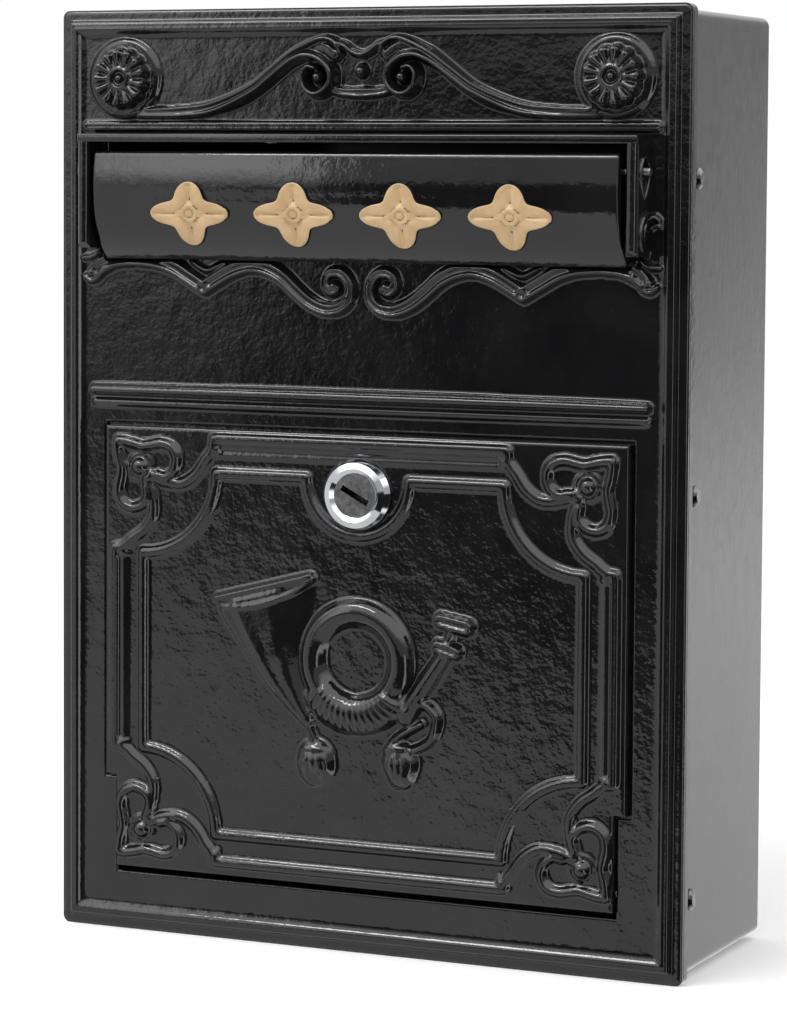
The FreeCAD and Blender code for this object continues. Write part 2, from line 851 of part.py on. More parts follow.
# letter flap: a hollow cast hood that hangs on its rod, with four raised badges
flap = new_body("letter_flap_blank")
flap_profile = new_sketch(flap, "flap_profile", "YZ_Plane", zero)
flap_corner = s["flap_wall"]
draw_outline(
    flap_profile,
    [
        (-flap_back, flap_low + 1.5),
        (-flap_back, flap_high),
        (-(flap_front - flap_corner), flap_high),
        (-(flap_front - 0.6), flap_high - flap_corner),
        (-flap_front, flap_belly),
        (-(field_front + s["flap_foot"]), flap_low),
    ],
    {3: s["flap_upper_radius"], 4: s["flap_lower_radius"]},
)
add_pad(flap, flap_profile, flap_half * 2, both=True)
flap_hollow = new_sketch(flap, "flap_hollow", "YZ_Plane", zero)
flap_wall = s["flap_wall"]
draw_outline(
    flap_hollow,
    [
        (-(flap_back - 1), flap_low + flap_wall),
        (-(flap_back - 1), flap_high - flap_wall),
        (-(flap_front - flap_wall - 0.6), flap_high - flap_wall),
        (-(flap_front - flap_wall), flap_belly),
        (-(field_front + s["flap_foot"] - 1.2), flap_low + flap_wall),
    ],
    {2: s["flap_upper_radius"] - flap_wall, 3: s["flap_lower_radius"] - flap_wall},
)
add_pocket(flap, flap_hollow, (flap_half - flap_wall) * 2, both=True)
flap_bore = new_sketch(flap, "flap_bore", "YZ_Plane", zero)
draw_circle(flap_bore, -rod_depth, rod_up, s["rod_diameter"] + s["rod_play"] * 2)
add_pocket(flap, flap_bore, both=True)


def badge(x):
    """The outline of a broad four-petalled flower, as a prism through the flap's front."""
    size = number(s["badge_size"])
    middle = number(flap_belly) - 6.5
    petals = []
    for index in range(24):
        angle = math.radians(index * 15)
        reach = size * (0.41 + 0.09 * math.cos(4 * angle))
        petals.append(
            FreeCAD.Vector(x + 1.35 * reach * math.cos(angle), 0, middle + reach * math.sin(angle))
        )
    outline = Part.makePolygon(petals + [petals[0]])
    return Part.Face(outline).extrude(FreeCAD.Vector(0, -number(flap_front) * 1.2, 0))


badge_columns = [number(s["badge_pitch"]) * step for step in (-1.5, -0.5, 0.5, 1.5)]
doc.recompute()
raised_skin = flap.Shape.copy()
raised_skin.translate(FreeCAD.Vector(0, -number(s["badge_height"]), 0))
badges = [raised_skin.common(badge(x)) for x in badge_columns]
flap_badges = relief_feature("letter_flap_badges", badges)
letter_flap = join_relief("letter_flap", flap, flap_badges)

# the rod that the flap hangs on, and the clip at each end of it
rod_half = cheek_outer + 2.5
flap_rod = doc.addObject("Part::Cylinder", "flap_rod")
flap_rod.Label = "flap_rod"
set_length(flap_rod, "Radius", s["rod_diameter"] / 2)
set_length(flap_rod, "Height", rod_half * 2)
flap_rod.Placement = FreeCAD.Placement(
    FreeCAD.Vector(-number(rod_half), -number(rod_depth), number(rod_up)),
    FreeCAD.Rotation(FreeCAD.Vector(0, 1, 0), 90),
)
flap_rod.setExpression("Placement.Base.x", (-rod_half).text)
flap_rod.setExpression("Placement.Base.y", (-rod_depth).text)
flap_rod.setExpression("Placement.Base.z", rod_up.text)

clip_bodies = []
for side in (-1, 1):
    name = "clip_right" if side > 0 else "clip_left"
    clip = new_body(name)
    ring = new_sketch(clip, f"{name}_ring", "YZ_Plane", cheek_outer * side)
    draw_circle(ring, -rod_depth, rod_up, s["clip_diameter"])
    draw_circle(ring, -rod_depth, rod_up, s["rod_diameter"])
    add_pad(clip, ring, s["clip_wall"], back=side < 0)
    clip_bodies.append(clip)
rod_clips = doc.addObject("Part::Compound", "rod_clips")
rod_clips.Links = clip_bodies
rod_clips.Label = "rod_clips"

# door: a cast leaf with notched lower corners, hung on two pins near its bottom edge
door = new_body("door_blank")
leaf = new_sketch(door, "door_leaf", "XZ_Plane", door_front)
notch_half = door_half - s["notch_width"]
draw_outline(
    leaf,
    [
        (-notch_half, door_low),
        (notch_half, door_low),
        (notch_half, notch_top + s["door_gap"]),
        (door_half, notch_top + s["door_gap"]),
        (door_half, door_high),
        (-door_half, door_high),
        (-door_half, notch_top + s["door_gap"]),
        (-notch_half, notch_top + s["door_gap"]),
    ],
)
add_pad(door, leaf, s["door_wall"], back=True)
lug_inner = notch_half - s["hinge_pin_reach"] - s["hinge_lug"] / 2
for side in (-1, 1):
    lug = new_sketch(
        door, "lug_right" if side > 0 else "lug_left", "YZ_Plane", lug_inner * side
    )
    lug_radius = s["hinge_lug"]
    draw_outline(
        lug,
        [
            (-(door_back + 1), hinge_up - lug_radius),
            (-hinge_depth, hinge_up - lug_radius),
            (-hinge_depth, hinge_up + lug_radius),
            (-(door_back + 1), hinge_up + lug_radius * 2),
        ],
        {1: lug_radius * 1.05},
    )
    add_pad(door, lug, notch_half - lug_inner, back=side < 0)
    bore = new_sketch(
        door, "pin_hole_right" if side > 0 else "pin_hole_left", "YZ_Plane", notch_half * side
    )
    draw_circle(bore, -hinge_depth, hinge_up, s["hinge_pin_diameter"] + s["hinge_play"] * 2)
    add_pocket(door, bore, s["hinge_pin_reach"] + 0.5, back=side < 0)
lock_hole = new_sketch(door, "lock_hole", "XZ_Plane", door_front)
draw_circle(lock_hole, zero, lock_up, s["barrel_diameter"])
add_pocket(door, lock_hole)
round_edges(
    door,
    "door_edge",
    s["door_edge_radius"],
    lambda edge: near(midpoint(edge).y, -door_front)
    and not isinstance(edge.Curve, Part.Circle),
)

door_level = number(door_front)
bead_width = number(s["ridge_width"])
bead_height = number(s["ridge_height"])
door_half_now = number(door_half)
door_low_now = number(door_low)
door_high_now = number(door_high)
door_middle = (door_low_now + door_high_now) / 2


corner_size = number(s["corner_sweep"]) / 33.7
horn_size = number(s["horn_ring_radius"]) / 20.5


def corner_chains():
    """The ornament in one corner, measured from the leaf's corner: two strips that break away from
    the outer bead, three lobes and a ball."""
    strip = [(10.7, 47.7), (16.2, 43.7), (20.7, 39.2), (23.5, 32.7), (23.2, 26.2), (20.7, 20.7)]
    upper_lobe = [(18.2, 28.0), (15.8, 31.7), (11.6, 32.6), (8.0, 30.0), (7.4, 25.0), (9.6, 19.0)]
    corner_lobe = [(8.6, 16.6), (7.2, 11.5), (8.2, 6.6), (12.6, 5.2), (18.5, 8.4)]
    lean = 0.9

    def swap(points):
        return [(v + lean, u - lean) for u, v in points]

    chains = [
        ([(6.0, 51.5), (11.0, 51.0), (10.7, 47.7)], -5),
        (strip, -35),
        (upper_lobe, 110),
        (corner_lobe, 230),
        (swap(upper_lobe), -20),
        (swap(strip), 125),
        (swap([(6.0, 51.5), (11.0, 51.0), (10.7, 47.7)]), 95),
    ]
    return [([(u * corner_size, v * corner_size) for u, v in line], turn) for line, turn in chains]


def place_corner(points, heading, across, upward, lift):
    """Corner points and heading moved to one of the four corners."""
    side = [(across * (door_half_now - u), v) for u, v in points]
    edge = door_low_now if upward < 0 else door_high_now
    placed = [(x, edge - upward * (v + lift)) for x, v in side]
    turned = math.degrees(
        math.atan2(-upward * math.sin(math.radians(heading)),
                   -across * math.cos(math.radians(heading)))
    )
    return placed, turned


door_solids = []
top_lift = number(s["inner_bead_top"] - s["inner_bead_bottom"])
sweep = number(s["corner_sweep"])
inner_side = door_half_now - number(s["inner_bead_side"])
inner_low = door_low_now + number(s["inner_bead_bottom"])
inner_high = door_high_now - number(s["inner_bead_top"])
lock_sweep = number(s["lock_sweep"])
for across in (-1, 1):
    for upward in (-1, 1):
        lift = top_lift if upward > 0 else 0
        for points, heading in corner_chains():
            placed, turned = place_corner(points, heading, across, upward, lift)
            chain = arc_chain(placed[0], turned, placed[1:])
            door_solids += ridge(chain, bead_width * 0.8, bead_height, door_level)
        corner_z = inner_low if upward < 0 else inner_high
        quarter = arc_chain(
            (across * inner_side, corner_z - upward * sweep),
            0 if across < 0 else 180,
            [(across * (inner_side - sweep), corner_z)],
        )
        door_solids += ridge(quarter, bead_width, bead_height, door_level)
        ball_inset = (15.8 * corner_size, 14.9 * corner_size)
        ball_at = place_corner([ball_inset], 0, across, upward, lift)[0][0]
        ball_sizes = (4.2 * corner_size, 2.2 * corner_size, 3 * corner_size)
        door_solids.append(boss(*ball_at, *ball_sizes, door_level, sides=12))
    upright = arc_chain(
        (across * inner_side, inner_low + sweep), 90, [(across * inner_side, inner_high - sweep)]
    )
    door_solids += ridge(upright, bead_width, bead_height, door_level)
    outer_side = door_half_now - number(s["outer_bead_inset"])
    outer = arc_chain(
        (across * outer_side, door_low_now + 51 * corner_size),
        90,
        [(across * outer_side, door_high_now - 51 * corner_size - top_lift)],
    )
    door_solids += ridge(outer, bead_width * 0.8, bead_height, door_level)
    head = arc_chain(
        (across * (inner_side - sweep), inner_high),
        0 if across < 0 else 180,
        [(across * lock_sweep, inner_high)],
    )
    door_solids += ridge(head, bead_width, bead_height, door_level)
inner_foot = arc_chain((sweep - inner_side, inner_low), 0, [(inner_side - sweep, inner_low)])
door_solids += ridge(inner_foot, bead_width, bead_height, door_level)
dip = arc_chain((-lock_sweep, inner_high), -90, [(lock_sweep, inner_high)])
door_solids += ridge(dip, bead_width, bead_height, door_level)
outer_run = door_half_now - 52 * corner_size
for height in (
    door_low_now + number(s["outer_bead_inset"]),
    door_high_now - number(s["outer_bead_inset"]),
):
    outer_rail = arc_chain((-outer_run, height), 0, [(outer_run, height)])
    door_solids += ridge(outer_rail, bead_width * 0.8, bead_height, door_level)


def post_horn():
    """A coiled horn: bell, ring, cord wrap, mouthpipe, cord loop and two tassels."""
    ring_radius = number(s["horn_ring_radius"])
    tube = number(s["horn_tube_radius"])
    middle = door_middle
    swollen = {
        "bell": [(-40.3, 26.0, -77, 47, 3.2), (-41.0, 13.0, -75, 34, 3.6), (-38.0, 0.0, -70, 23, 4.0),
                 (-31.0, -13.0, -58, 14, 4.2), (-20.0, -23.0, -38, 10, 4.2)],
        "pipe": [(15, -24, 52, 9.5, 4.4), (27, -11, 54, 8.5, 4.2), (39, 6, 55, 7, 4.0)],
        "neck": [(38, 5, 60, 4.5, 3.2), (44, 17, 68, 4.5, 3.2)],
        "cup": [(42.5, 15.0, 78, 9, 3.8), (44.0, 20.0, 80, 14, 4.6)],
        "right_tassel": [(20.0, -32.5, -92, 7, 3.4), (20.0, -40.0, -92, 14, 4.6),
                         (19.5, -46.0, -92, 12, 3.6), (19.2, -50.5, -92, 3, 1.6)],
        "left_tassel": [(-20.5, -34.0, -65, 7, 3.0), (-18.0, -40.0, -65, 16, 4.6),
                        (-15.5, -45.5, -65, 15, 4.0), (-13.8, -49.5, -65, 8, 1.8)],
    }
    # start, heading, further points, width, height
    ridges = {
        "mouth": ((-64.5, 21.0), 12.5, [(-15.8, 32.2)], 4.5, 5.0),
        "lower_collar": ((33.5, 8.5), -33, [(43, 2.3)], 3.2, 4.8),
        "upper_collar": ((35.5, 12.5), -28, [(45, 7.5)], 2.6, 4.4),
        "loop": ((17, -18.5), 15, [(28.5, -17.8), (34.5, -26), (27.5, -33)], 4.2, 3.0),
        "tail": ((15, -31.5), 38, [(27, -25)], 3.6, 2.6),
        "cord": ((-13, -26), -110, [(-20.5, -35)], 4, 3.2),
    }

    def spot(x, z):
        return (x * horn_size, middle + z * horn_size)

    solids = [ring_ridge(0, middle, ring_radius, tube * 2, tube * 0.9, door_level)]
    for stations in swollen.values():
        moved = [
            (*spot(x, z), turn, width * horn_size, height * horn_size)
            for x, z, turn, width, height in stations
        ]
        solids.append(swelling(moved, door_level))
    for start, heading, rest, width, height in ridges.values():
        chain = arc_chain(spot(*start), heading, [spot(*point) for point in rest])
        solids += ridge(chain, width * horn_size, height * horn_size, door_level)
    wrap_radius = ring_radius + tube * 0.4
    wrap = arc_chain(
        (-0.766 * wrap_radius, middle - 0.643 * wrap_radius),
        -50,
        [(0.707 * wrap_radius, middle - 0.707 * wrap_radius)],
    )
    return solids + ridge(wrap, tube * 2.7, tube * 1.1, door_level)


door_relief = relief_feature("door_relief", door_solids + post_horn())
door_cast = join_relief("door", door, door_relief)

# hinge pins: pressed into the frame's bosses, with the door's lugs turning on them
for side in (-1, 1):
    name = "hinge_pin_right" if side > 0 else "hinge_pin_left"
    pin = doc.addObject("Part::Cylinder", name)
    pin.Label = name
    pin_end = notch_half - s["hinge_pin_reach"]
    set_length(pin, "Radius", s["hinge_pin_diameter"] / 2)
    set_length(pin, "Height", ear_outer - pin_end)
    start = pin_end if side > 0 else -ear_outer
    pin.Placement = FreeCAD.Placement(
        FreeCAD.Vector(number(start), -number(hinge_depth), number(hinge_up)),
        FreeCAD.Rotation(FreeCAD.Vector(0, 1, 0), 90),
    )
    pin.setExpression("Placement.Base.x", start.text)
    pin.setExpression("Placement.Base.y", (-hinge_depth).text)
    pin.setExpression("Placement.Base.z", hinge_up.text)


def lathe(name, points, arcs=None):
    """A turned piece about the lock's axis. Points are distance from the axis and depth."""
    body = new_body(name)
    body.Label = name
    profile = new_sketch(body, f"{name}_profile", "XY_Plane", lock_up)
    draw_outline(profile, [(radius, -depth) for radius, depth in points], arcs)
    turn = body.newObject("PartDesign::Revolution", f"{name}_turn")
    turn.Profile = profile
    turn.ReferenceAxis = (profile, ["V_Axis"])
    return body


# cam lock: a collared barrel through the door, the plug that turns in it, its nut and its cam
collar_front = door_front + s["collar_height"]
barrel_back = stop_back - s["cam_gap"]
barrel_radius = s["barrel_diameter"] / 2
collar_radius = s["collar_diameter"] / 2
plug_radius = s["plug_diameter"] / 2
plug_head_radius = s["plug_head"] / 2
head_floor = collar_front - s["collar_height"] * 0.85
bore_radius = plug_radius + s["plug_play"]
head_bore_radius = plug_head_radius + s["plug_play"]
lock_barrel = lathe(
    "lock_barrel",
    [
        (bore_radius, barrel_back),
        (barrel_radius, barrel_back),
        (barrel_radius, door_front),
        (collar_radius, door_front),
        (collar_radius, door_front + s["collar_height"] * 0.3),
        (collar_radius - s["collar_height"] * 0.35, collar_front - s["collar_height"] * 0.2),
        (head_bore_radius + s["collar_height"] * 0.35, collar_front),
        (head_bore_radius, collar_front - s["collar_height"] * 0.25),
        (head_bore_radius, head_floor),
        (bore_radius, head_floor),
    ],
)
plug_front = collar_front - s["collar_height"] * 0.25
plug_back = barrel_back - s["plug_play"]
lock_plug = lathe(
    "lock_plug",
    [
        (zero, plug_back),
        (plug_radius, plug_back),
        (plug_radius, head_floor + s["plug_play"]),
        (plug_head_radius, head_floor + s["plug_play"]),
        (plug_head_radius, plug_front),
        (zero, plug_front),
    ],
)
cam_back = plug_back - s["cam_wall"]
key_tilt = s["key_tilt"]
tail = turned_sketch(lock_plug, "plug_tail", plug_back, lock_up, key_tilt)
tail_half = s["cam_square"] / 2
draw_box(tail, -tail_half, tail_half, -tail_half, tail_half)
add_pad(lock_plug, tail, s["cam_wall"], back=True)
key_slot = turned_sketch(lock_plug, "key_slot", plug_front, lock_up, key_tilt)
slot_along = s["key_slot_length"] / 2
slot_across = s["key_slot_width"] / 2
draw_box(key_slot, -slot_along, slot_along, -slot_across, slot_across)
add_pocket(lock_plug, key_slot, (plug_front - plug_back) * 0.8)

lock_nut = new_body("lock_nut")
lock_nut.Label = "lock_nut"
nut_sketch = new_sketch(lock_nut, "nut_outline", "XZ_Plane", door_back)
nut_reach = s["nut_flats"] / 2
corner_rise = s["nut_flats"] / (2 * math.sqrt(3))
draw_outline(
    nut_sketch,
    [
        (-nut_reach, lock_up - corner_rise),
        (zero, lock_up - corner_rise * 2),
        (nut_reach, lock_up - corner_rise),
        (nut_reach, lock_up + corner_rise),
        (zero, lock_up + corner_rise * 2),
        (-nut_reach, lock_up + corner_rise),
    ],
)
draw_circle(nut_sketch, zero, lock_up, s["barrel_diameter"])
add_pad(lock_nut, nut_sketch, s["nut_wall"], back=True)

lock_cam = new_body("lock_cam")
lock_cam.Label = "lock_cam"
cam_sketch = turned_sketch(lock_cam, "cam_outline", plug_back, lock_up, key_tilt)
cam_half = s["cam_width"] / 2
draw_outline(
    cam_sketch,
    [
        (zero, -cam_half),
        (zero, cam_half),
        (-(s["cam_reach"] - cam_half / 2), cam_half),
        (-s["cam_reach"], cam_half / 2),
        (-s["cam_reach"], -(cam_half / 2)),
        (-(s["cam_reach"] - cam_half / 2), -cam_half),
    ],
    {0: cam_half * 1.05},
)
draw_box(cam_sketch, -tail_half, tail_half, -tail_half, tail_half)
add_pad(lock_cam, cam_sketch, s["cam_wall"], back=True)

cam_screw = lathe(
    "cam_screw",
    [
        (zero, cam_back - 3.2),
        (s["cam_square"] * 0.4, cam_back - 3.2),
        (s["cam_square"] * 0.6, cam_back - 2.0),
        (s["cam_square"] * 0.6, cam_back - 0.8),
        (zero, cam_back - 0.8),
    ],
)
cam_washer = lathe(
    "cam_washer",
    [
        (zero, cam_back - 0.8),
        (s["cam_square"] * 0.8, cam_back - 0.8),
        (s["cam_square"] * 0.8, cam_back),
        (zero, cam_back),
    ],
)

doc.recompute()

subparts = [
    front_frame, casing, casing_screws, letter_flap, flap_rod, rod_clips, door_cast,
    doc.getObject("hinge_pin_left"), doc.getObject("hinge_pin_right"),
    lock_barrel, lock_plug, lock_nut, lock_cam, cam_screw, cam_washer,
]
for item in doc.Objects:
    if {"Invalid", "Error"} & set(item.State):
        raise RuntimeError(f"{item.Name} failed: {item.State}")
for item in subparts:
    if item.Shape.isNull() or not item.Shape.isValid():
        raise RuntimeError(f"{item.Label} has no valid shape")
os.makedirs("parts", exist_ok=True)
for item in subparts:
    item.Shape.exportStep(f"parts/{item.Label}.step")
    print(item.Label, len(item.Shape.Solids), "solid,", round(item.Shape.Volume), "mm3")
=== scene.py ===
import math

import bmesh
import bpy
import numpy as np
from mathutils import Matrix, Vector


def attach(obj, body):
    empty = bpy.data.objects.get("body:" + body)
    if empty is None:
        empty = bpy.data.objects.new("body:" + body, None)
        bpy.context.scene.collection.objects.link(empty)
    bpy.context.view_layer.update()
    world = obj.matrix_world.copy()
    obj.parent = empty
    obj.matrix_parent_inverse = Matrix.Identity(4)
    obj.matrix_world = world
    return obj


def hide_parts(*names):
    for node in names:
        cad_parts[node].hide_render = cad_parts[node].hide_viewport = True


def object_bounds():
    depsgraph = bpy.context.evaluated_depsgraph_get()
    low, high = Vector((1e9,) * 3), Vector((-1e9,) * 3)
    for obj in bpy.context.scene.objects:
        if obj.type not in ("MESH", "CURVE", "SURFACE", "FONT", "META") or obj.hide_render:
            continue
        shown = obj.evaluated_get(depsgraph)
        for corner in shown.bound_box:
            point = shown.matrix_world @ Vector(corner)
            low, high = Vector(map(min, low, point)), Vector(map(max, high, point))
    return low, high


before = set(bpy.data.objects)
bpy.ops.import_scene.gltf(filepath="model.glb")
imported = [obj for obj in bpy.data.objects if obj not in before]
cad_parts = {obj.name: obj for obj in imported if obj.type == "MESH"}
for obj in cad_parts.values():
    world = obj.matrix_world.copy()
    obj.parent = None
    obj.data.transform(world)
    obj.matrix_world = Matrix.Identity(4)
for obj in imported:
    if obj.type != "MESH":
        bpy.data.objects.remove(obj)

cadLow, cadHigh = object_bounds()
scene = bpy.context.scene
mm = 0.001
plateFoot = -190.0  # heights on the plate are given from its lower edge, in mm
print("frame loaded")


def newMaterial(name, color, roughness, metallic=0.0):
    material = bpy.data.materials.new(name)
    material.use_nodes = True
    shader = material.node_tree.nodes["Principled BSDF"]
    shader.inputs["Base Color"].default_value = (*color, 1.0)
    shader.inputs["Roughness"].default_value = roughness
    shader.inputs["Metallic"].default_value = metallic
    coords = material.node_tree.nodes.new("ShaderNodeTexCoord").outputs["Object"]
    return material, shader, coords


def addNoise(material, coords, size, detail):
    noise = material.node_tree.nodes.new("ShaderNodeTexNoise")
    noise.inputs["Scale"].default_value = 1.0 / (size * mm)
    noise.inputs["Detail"].default_value = detail
    material.node_tree.links.new(coords, noise.inputs["Vector"])
    return noise.outputs["Fac"]


def addBumps(material, shader, coords, layers):
    below = None
    for size, depth, detail in layers:
        bump = material.node_tree.nodes.new("ShaderNodeBump")
        bump.inputs["Distance"].default_value = depth * mm
        material.node_tree.links.new(addNoise(material, coords, size, detail), bump.inputs["Height"])
        if below:
            material.node_tree.links.new(below, bump.inputs["Normal"])
        below = bump.outputs["Normal"]
    material.node_tree.links.new(below, shader.inputs["Normal"])


def addRoughness(material, shader, coords, size, low, high):
    spread = material.node_tree.nodes.new("ShaderNodeMapRange")
    spread.inputs["From Min"].default_value = 0.3
    spread.inputs["From Max"].default_value = 0.7
    spread.inputs["To Min"].default_value = low
    spread.inputs["To Max"].default_value = high
    material.node_tree.links.new(addNoise(material, coords, size, 3.0), spread.inputs["Value"])
    material.node_tree.links.new(spread.outputs["Result"], shader.inputs["Roughness"])


def addShades(material, shader, coords, size, dark, light):
    ramp = material.node_tree.nodes.new("ShaderNodeValToRGB")
    ramp.color_ramp.elements[0].position = 0.35
    ramp.color_ramp.elements[0].color = (*dark, 1.0)
    ramp.color_ramp.elements[1].position = 0.65
    ramp.color_ramp.elements[1].color = (*light, 1.0)
    material.node_tree.links.new(addNoise(material, coords, size, 4.0), ramp.inputs["Fac"])
    material.node_tree.links.new(ramp.outputs["Color"], shader.inputs["Base Color"])


castPaint = {
    "metal": 0.0,
    "dark": (0.004, 0.004, 0.0045),
    "light": (0.007, 0.007, 0.0076),
    "patch": 30.0,
    "rough": (0.04, 0.11),
    "spots": 6.0,
    "bumps": [(8.0, 0.13, 1.0), (1.9, 0.05, 1.0), (0.9, 0.012, 1.0)],
}
sheetPaint = {
    "metal": 0.0,
    "dark": (0.018, 0.018, 0.019),
    "light": (0.026, 0.026, 0.027),
    "patch": 40.0,
    "rough": (0.10, 0.18),
    "spots": 8.0,
    "bumps": [(3.2, 0.03, 2.0), (1.1, 0.012, 2.0)],
}
goldLeaf = {
    "metal": 0.0,
    "dark": (0.36, 0.235, 0.115),
    "light": (0.43, 0.295, 0.16),
    "patch": 7.0,
    "rough": (0.3, 0.45),
    "spots": 3.0,
    "bumps": [(2.4, 0.08, 2.0), (0.7, 0.02, 1.0)],
}
chromePlate = {
    "metal": 1.0,
    "dark": (0.46, 0.47, 0.49),
    "light": (0.56, 0.57, 0.59),
    "patch": 12.0,
    "rough": (0.05, 0.11),
    "spots": 4.0,
    "bumps": [(3.0, 0.008, 1.0)],
}
plugFace = {
    "metal": 1.0,
    "dark": (0.15, 0.15, 0.155),
    "light": (0.25, 0.25, 0.255),
    "patch": 3.0,
    "rough": (0.18, 0.3),
    "spots": 2.0,
    "bumps": [(0.9, 0.012, 2.0)],
}
zincPlate = {
    "metal": 1.0,
    "dark": (0.42, 0.42, 0.40),
    "light": (0.58, 0.58, 0.56),
    "patch": 3.0,
    "rough": (0.28, 0.42),
    "spots": 2.0,
    "bumps": [(0.8, 0.01, 2.0)],
}
blackedSteel = {
    "metal": 1.0,
    "dark": (0.09, 0.09, 0.09),
    "light": (0.16, 0.16, 0.16),
    "patch": 2.0,
    "rough": (0.1, 0.22),
    "spots": 1.5,
    "bumps": [(1.4, 0.05, 1.0)],
}


def makeFinish(name, finish):
    material, shader, coords = newMaterial(name, finish["light"], finish["rough"][0], finish["metal"])
    addShades(material, shader, coords, finish["patch"], finish["dark"], finish["light"])
    addRoughness(material, shader, coords, finish["spots"], *finish["rough"])
    addBumps(material, shader, coords, finish["bumps"])
    return material


castEnamel = makeFinish("castEnamel", castPaint)
sheetEnamel = makeFinish("sheetEnamel", sheetPaint)
goldPaint = makeFinish("goldPaint", goldLeaf)
chrome = makeFinish("chrome", chromePlate)
zinc = makeFinish("zinc", zincPlate)
blackSteel = makeFinish("blackSteel", blackedSteel)
dullChrome = makeFinish("dullChrome", plugFace)

slotFinishes = {
    "black_enamel": castEnamel,
    "sheet_enamel": sheetEnamel,
    "chrome": chrome,
    "plated_steel": zinc,
    "black_steel": blackSteel,
}
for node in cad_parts.values():
    for materialSlot in node.material_slots:
        materialSlot.material = slotFinishes[materialSlot.material.name.split(".")[0]]
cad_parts["lock_plug"].material_slots[0].material = dullChrome
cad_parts["rod_clips"].material_slots[0].material = blackSteel
print("finishes made")


def gridLines(low, high, step, marks):
    # evenly stepped lines that also pass through every mark
    stops = sorted({low, high, *[mark for mark in marks if low < mark < high]})
    lines = [low]
    for start, end in zip(stops, stops[1:]):
        parts = max(1, math.ceil((end - start) / step - 0.01))
        lines += [start + (end - start) * part / parts for part in range(1, parts + 1)]
    return np.array(lines)


def edgeMarks(edge, inward, radius):
    # lines close together where an edge is rounded
    return [edge + inward * radius * share for share in (0, 0.04, 0.15, 0.35, 0.62, 1.0, 1.5)]


def newRelief(xs, zs):
    x, z = np.meshgrid(xs, zs)
    return {"xs": xs, "zs": zs, "x": x, "z": z, "height": np.zeros_like(x), "level": np.zeros_like(x)}


def smoothPath(points, step=0.6):
    stops = np.array(points, float)
    ends = np.vstack([2 * stops[0] - stops[1], stops, 2 * stops[-1] - stops[-2]])
    line = []
    for p0, p1, p2, p3 in zip(ends, ends[1:], ends[2:], ends[3:]):
        parts = max(2, int(np.linalg.norm(p2 - p1) / step))
        t = np.linspace(0, 1, parts, endpoint=False)[:, None]
        line.append(
            0.5 * (2 * p1 + (p2 - p0) * t + (2 * p0 - 5 * p1 + 4 * p2 - p3) * t**2
                   + (3 * p1 - p0 - 3 * p2 + p3) * t**3)
        )
    line.append(stops[-1:])
    return np.vstack(line)


def ridgeForm(form, u):
    # height of a ridge's cross-section from its middle (0) to its feet (-1 and 1)
    if not isinstance(form, str):
        return np.interp(u, *zip(*form))
    inside = np.clip(np.abs(u), 0, 1)
    if form == "round":
        return (1 - inside**2) ** 0.65
    if form == "twin":
        groove = 0.62 + 0.38 * (1 - np.cos(np.pi * np.clip(inside / 0.6, 0, 1))) / 2
        return np.where(inside < 0.6, groove, (1 - (np.clip(inside - 0.6, 0, 0.4) / 0.4) ** 2) ** 0.6)
    if form == "rail":
        hollow = 0.84 + 0.16 * np.clip(inside / 0.6, 0, 1) ** 2
        return np.where(inside < 0.6, hollow, (1 + np.cos(np.pi * np.clip((inside - 0.6) / 0.4, 0, 1))) / 2)
    return np.clip((1 - inside) / 0.3, 0, 1) ** 0.6  # flat


def blendUp(old, new, soft):
    near = np.clip(soft - np.abs(old - new), 0, None)
    return np.maximum(old, new) + near * near / (4 * soft)


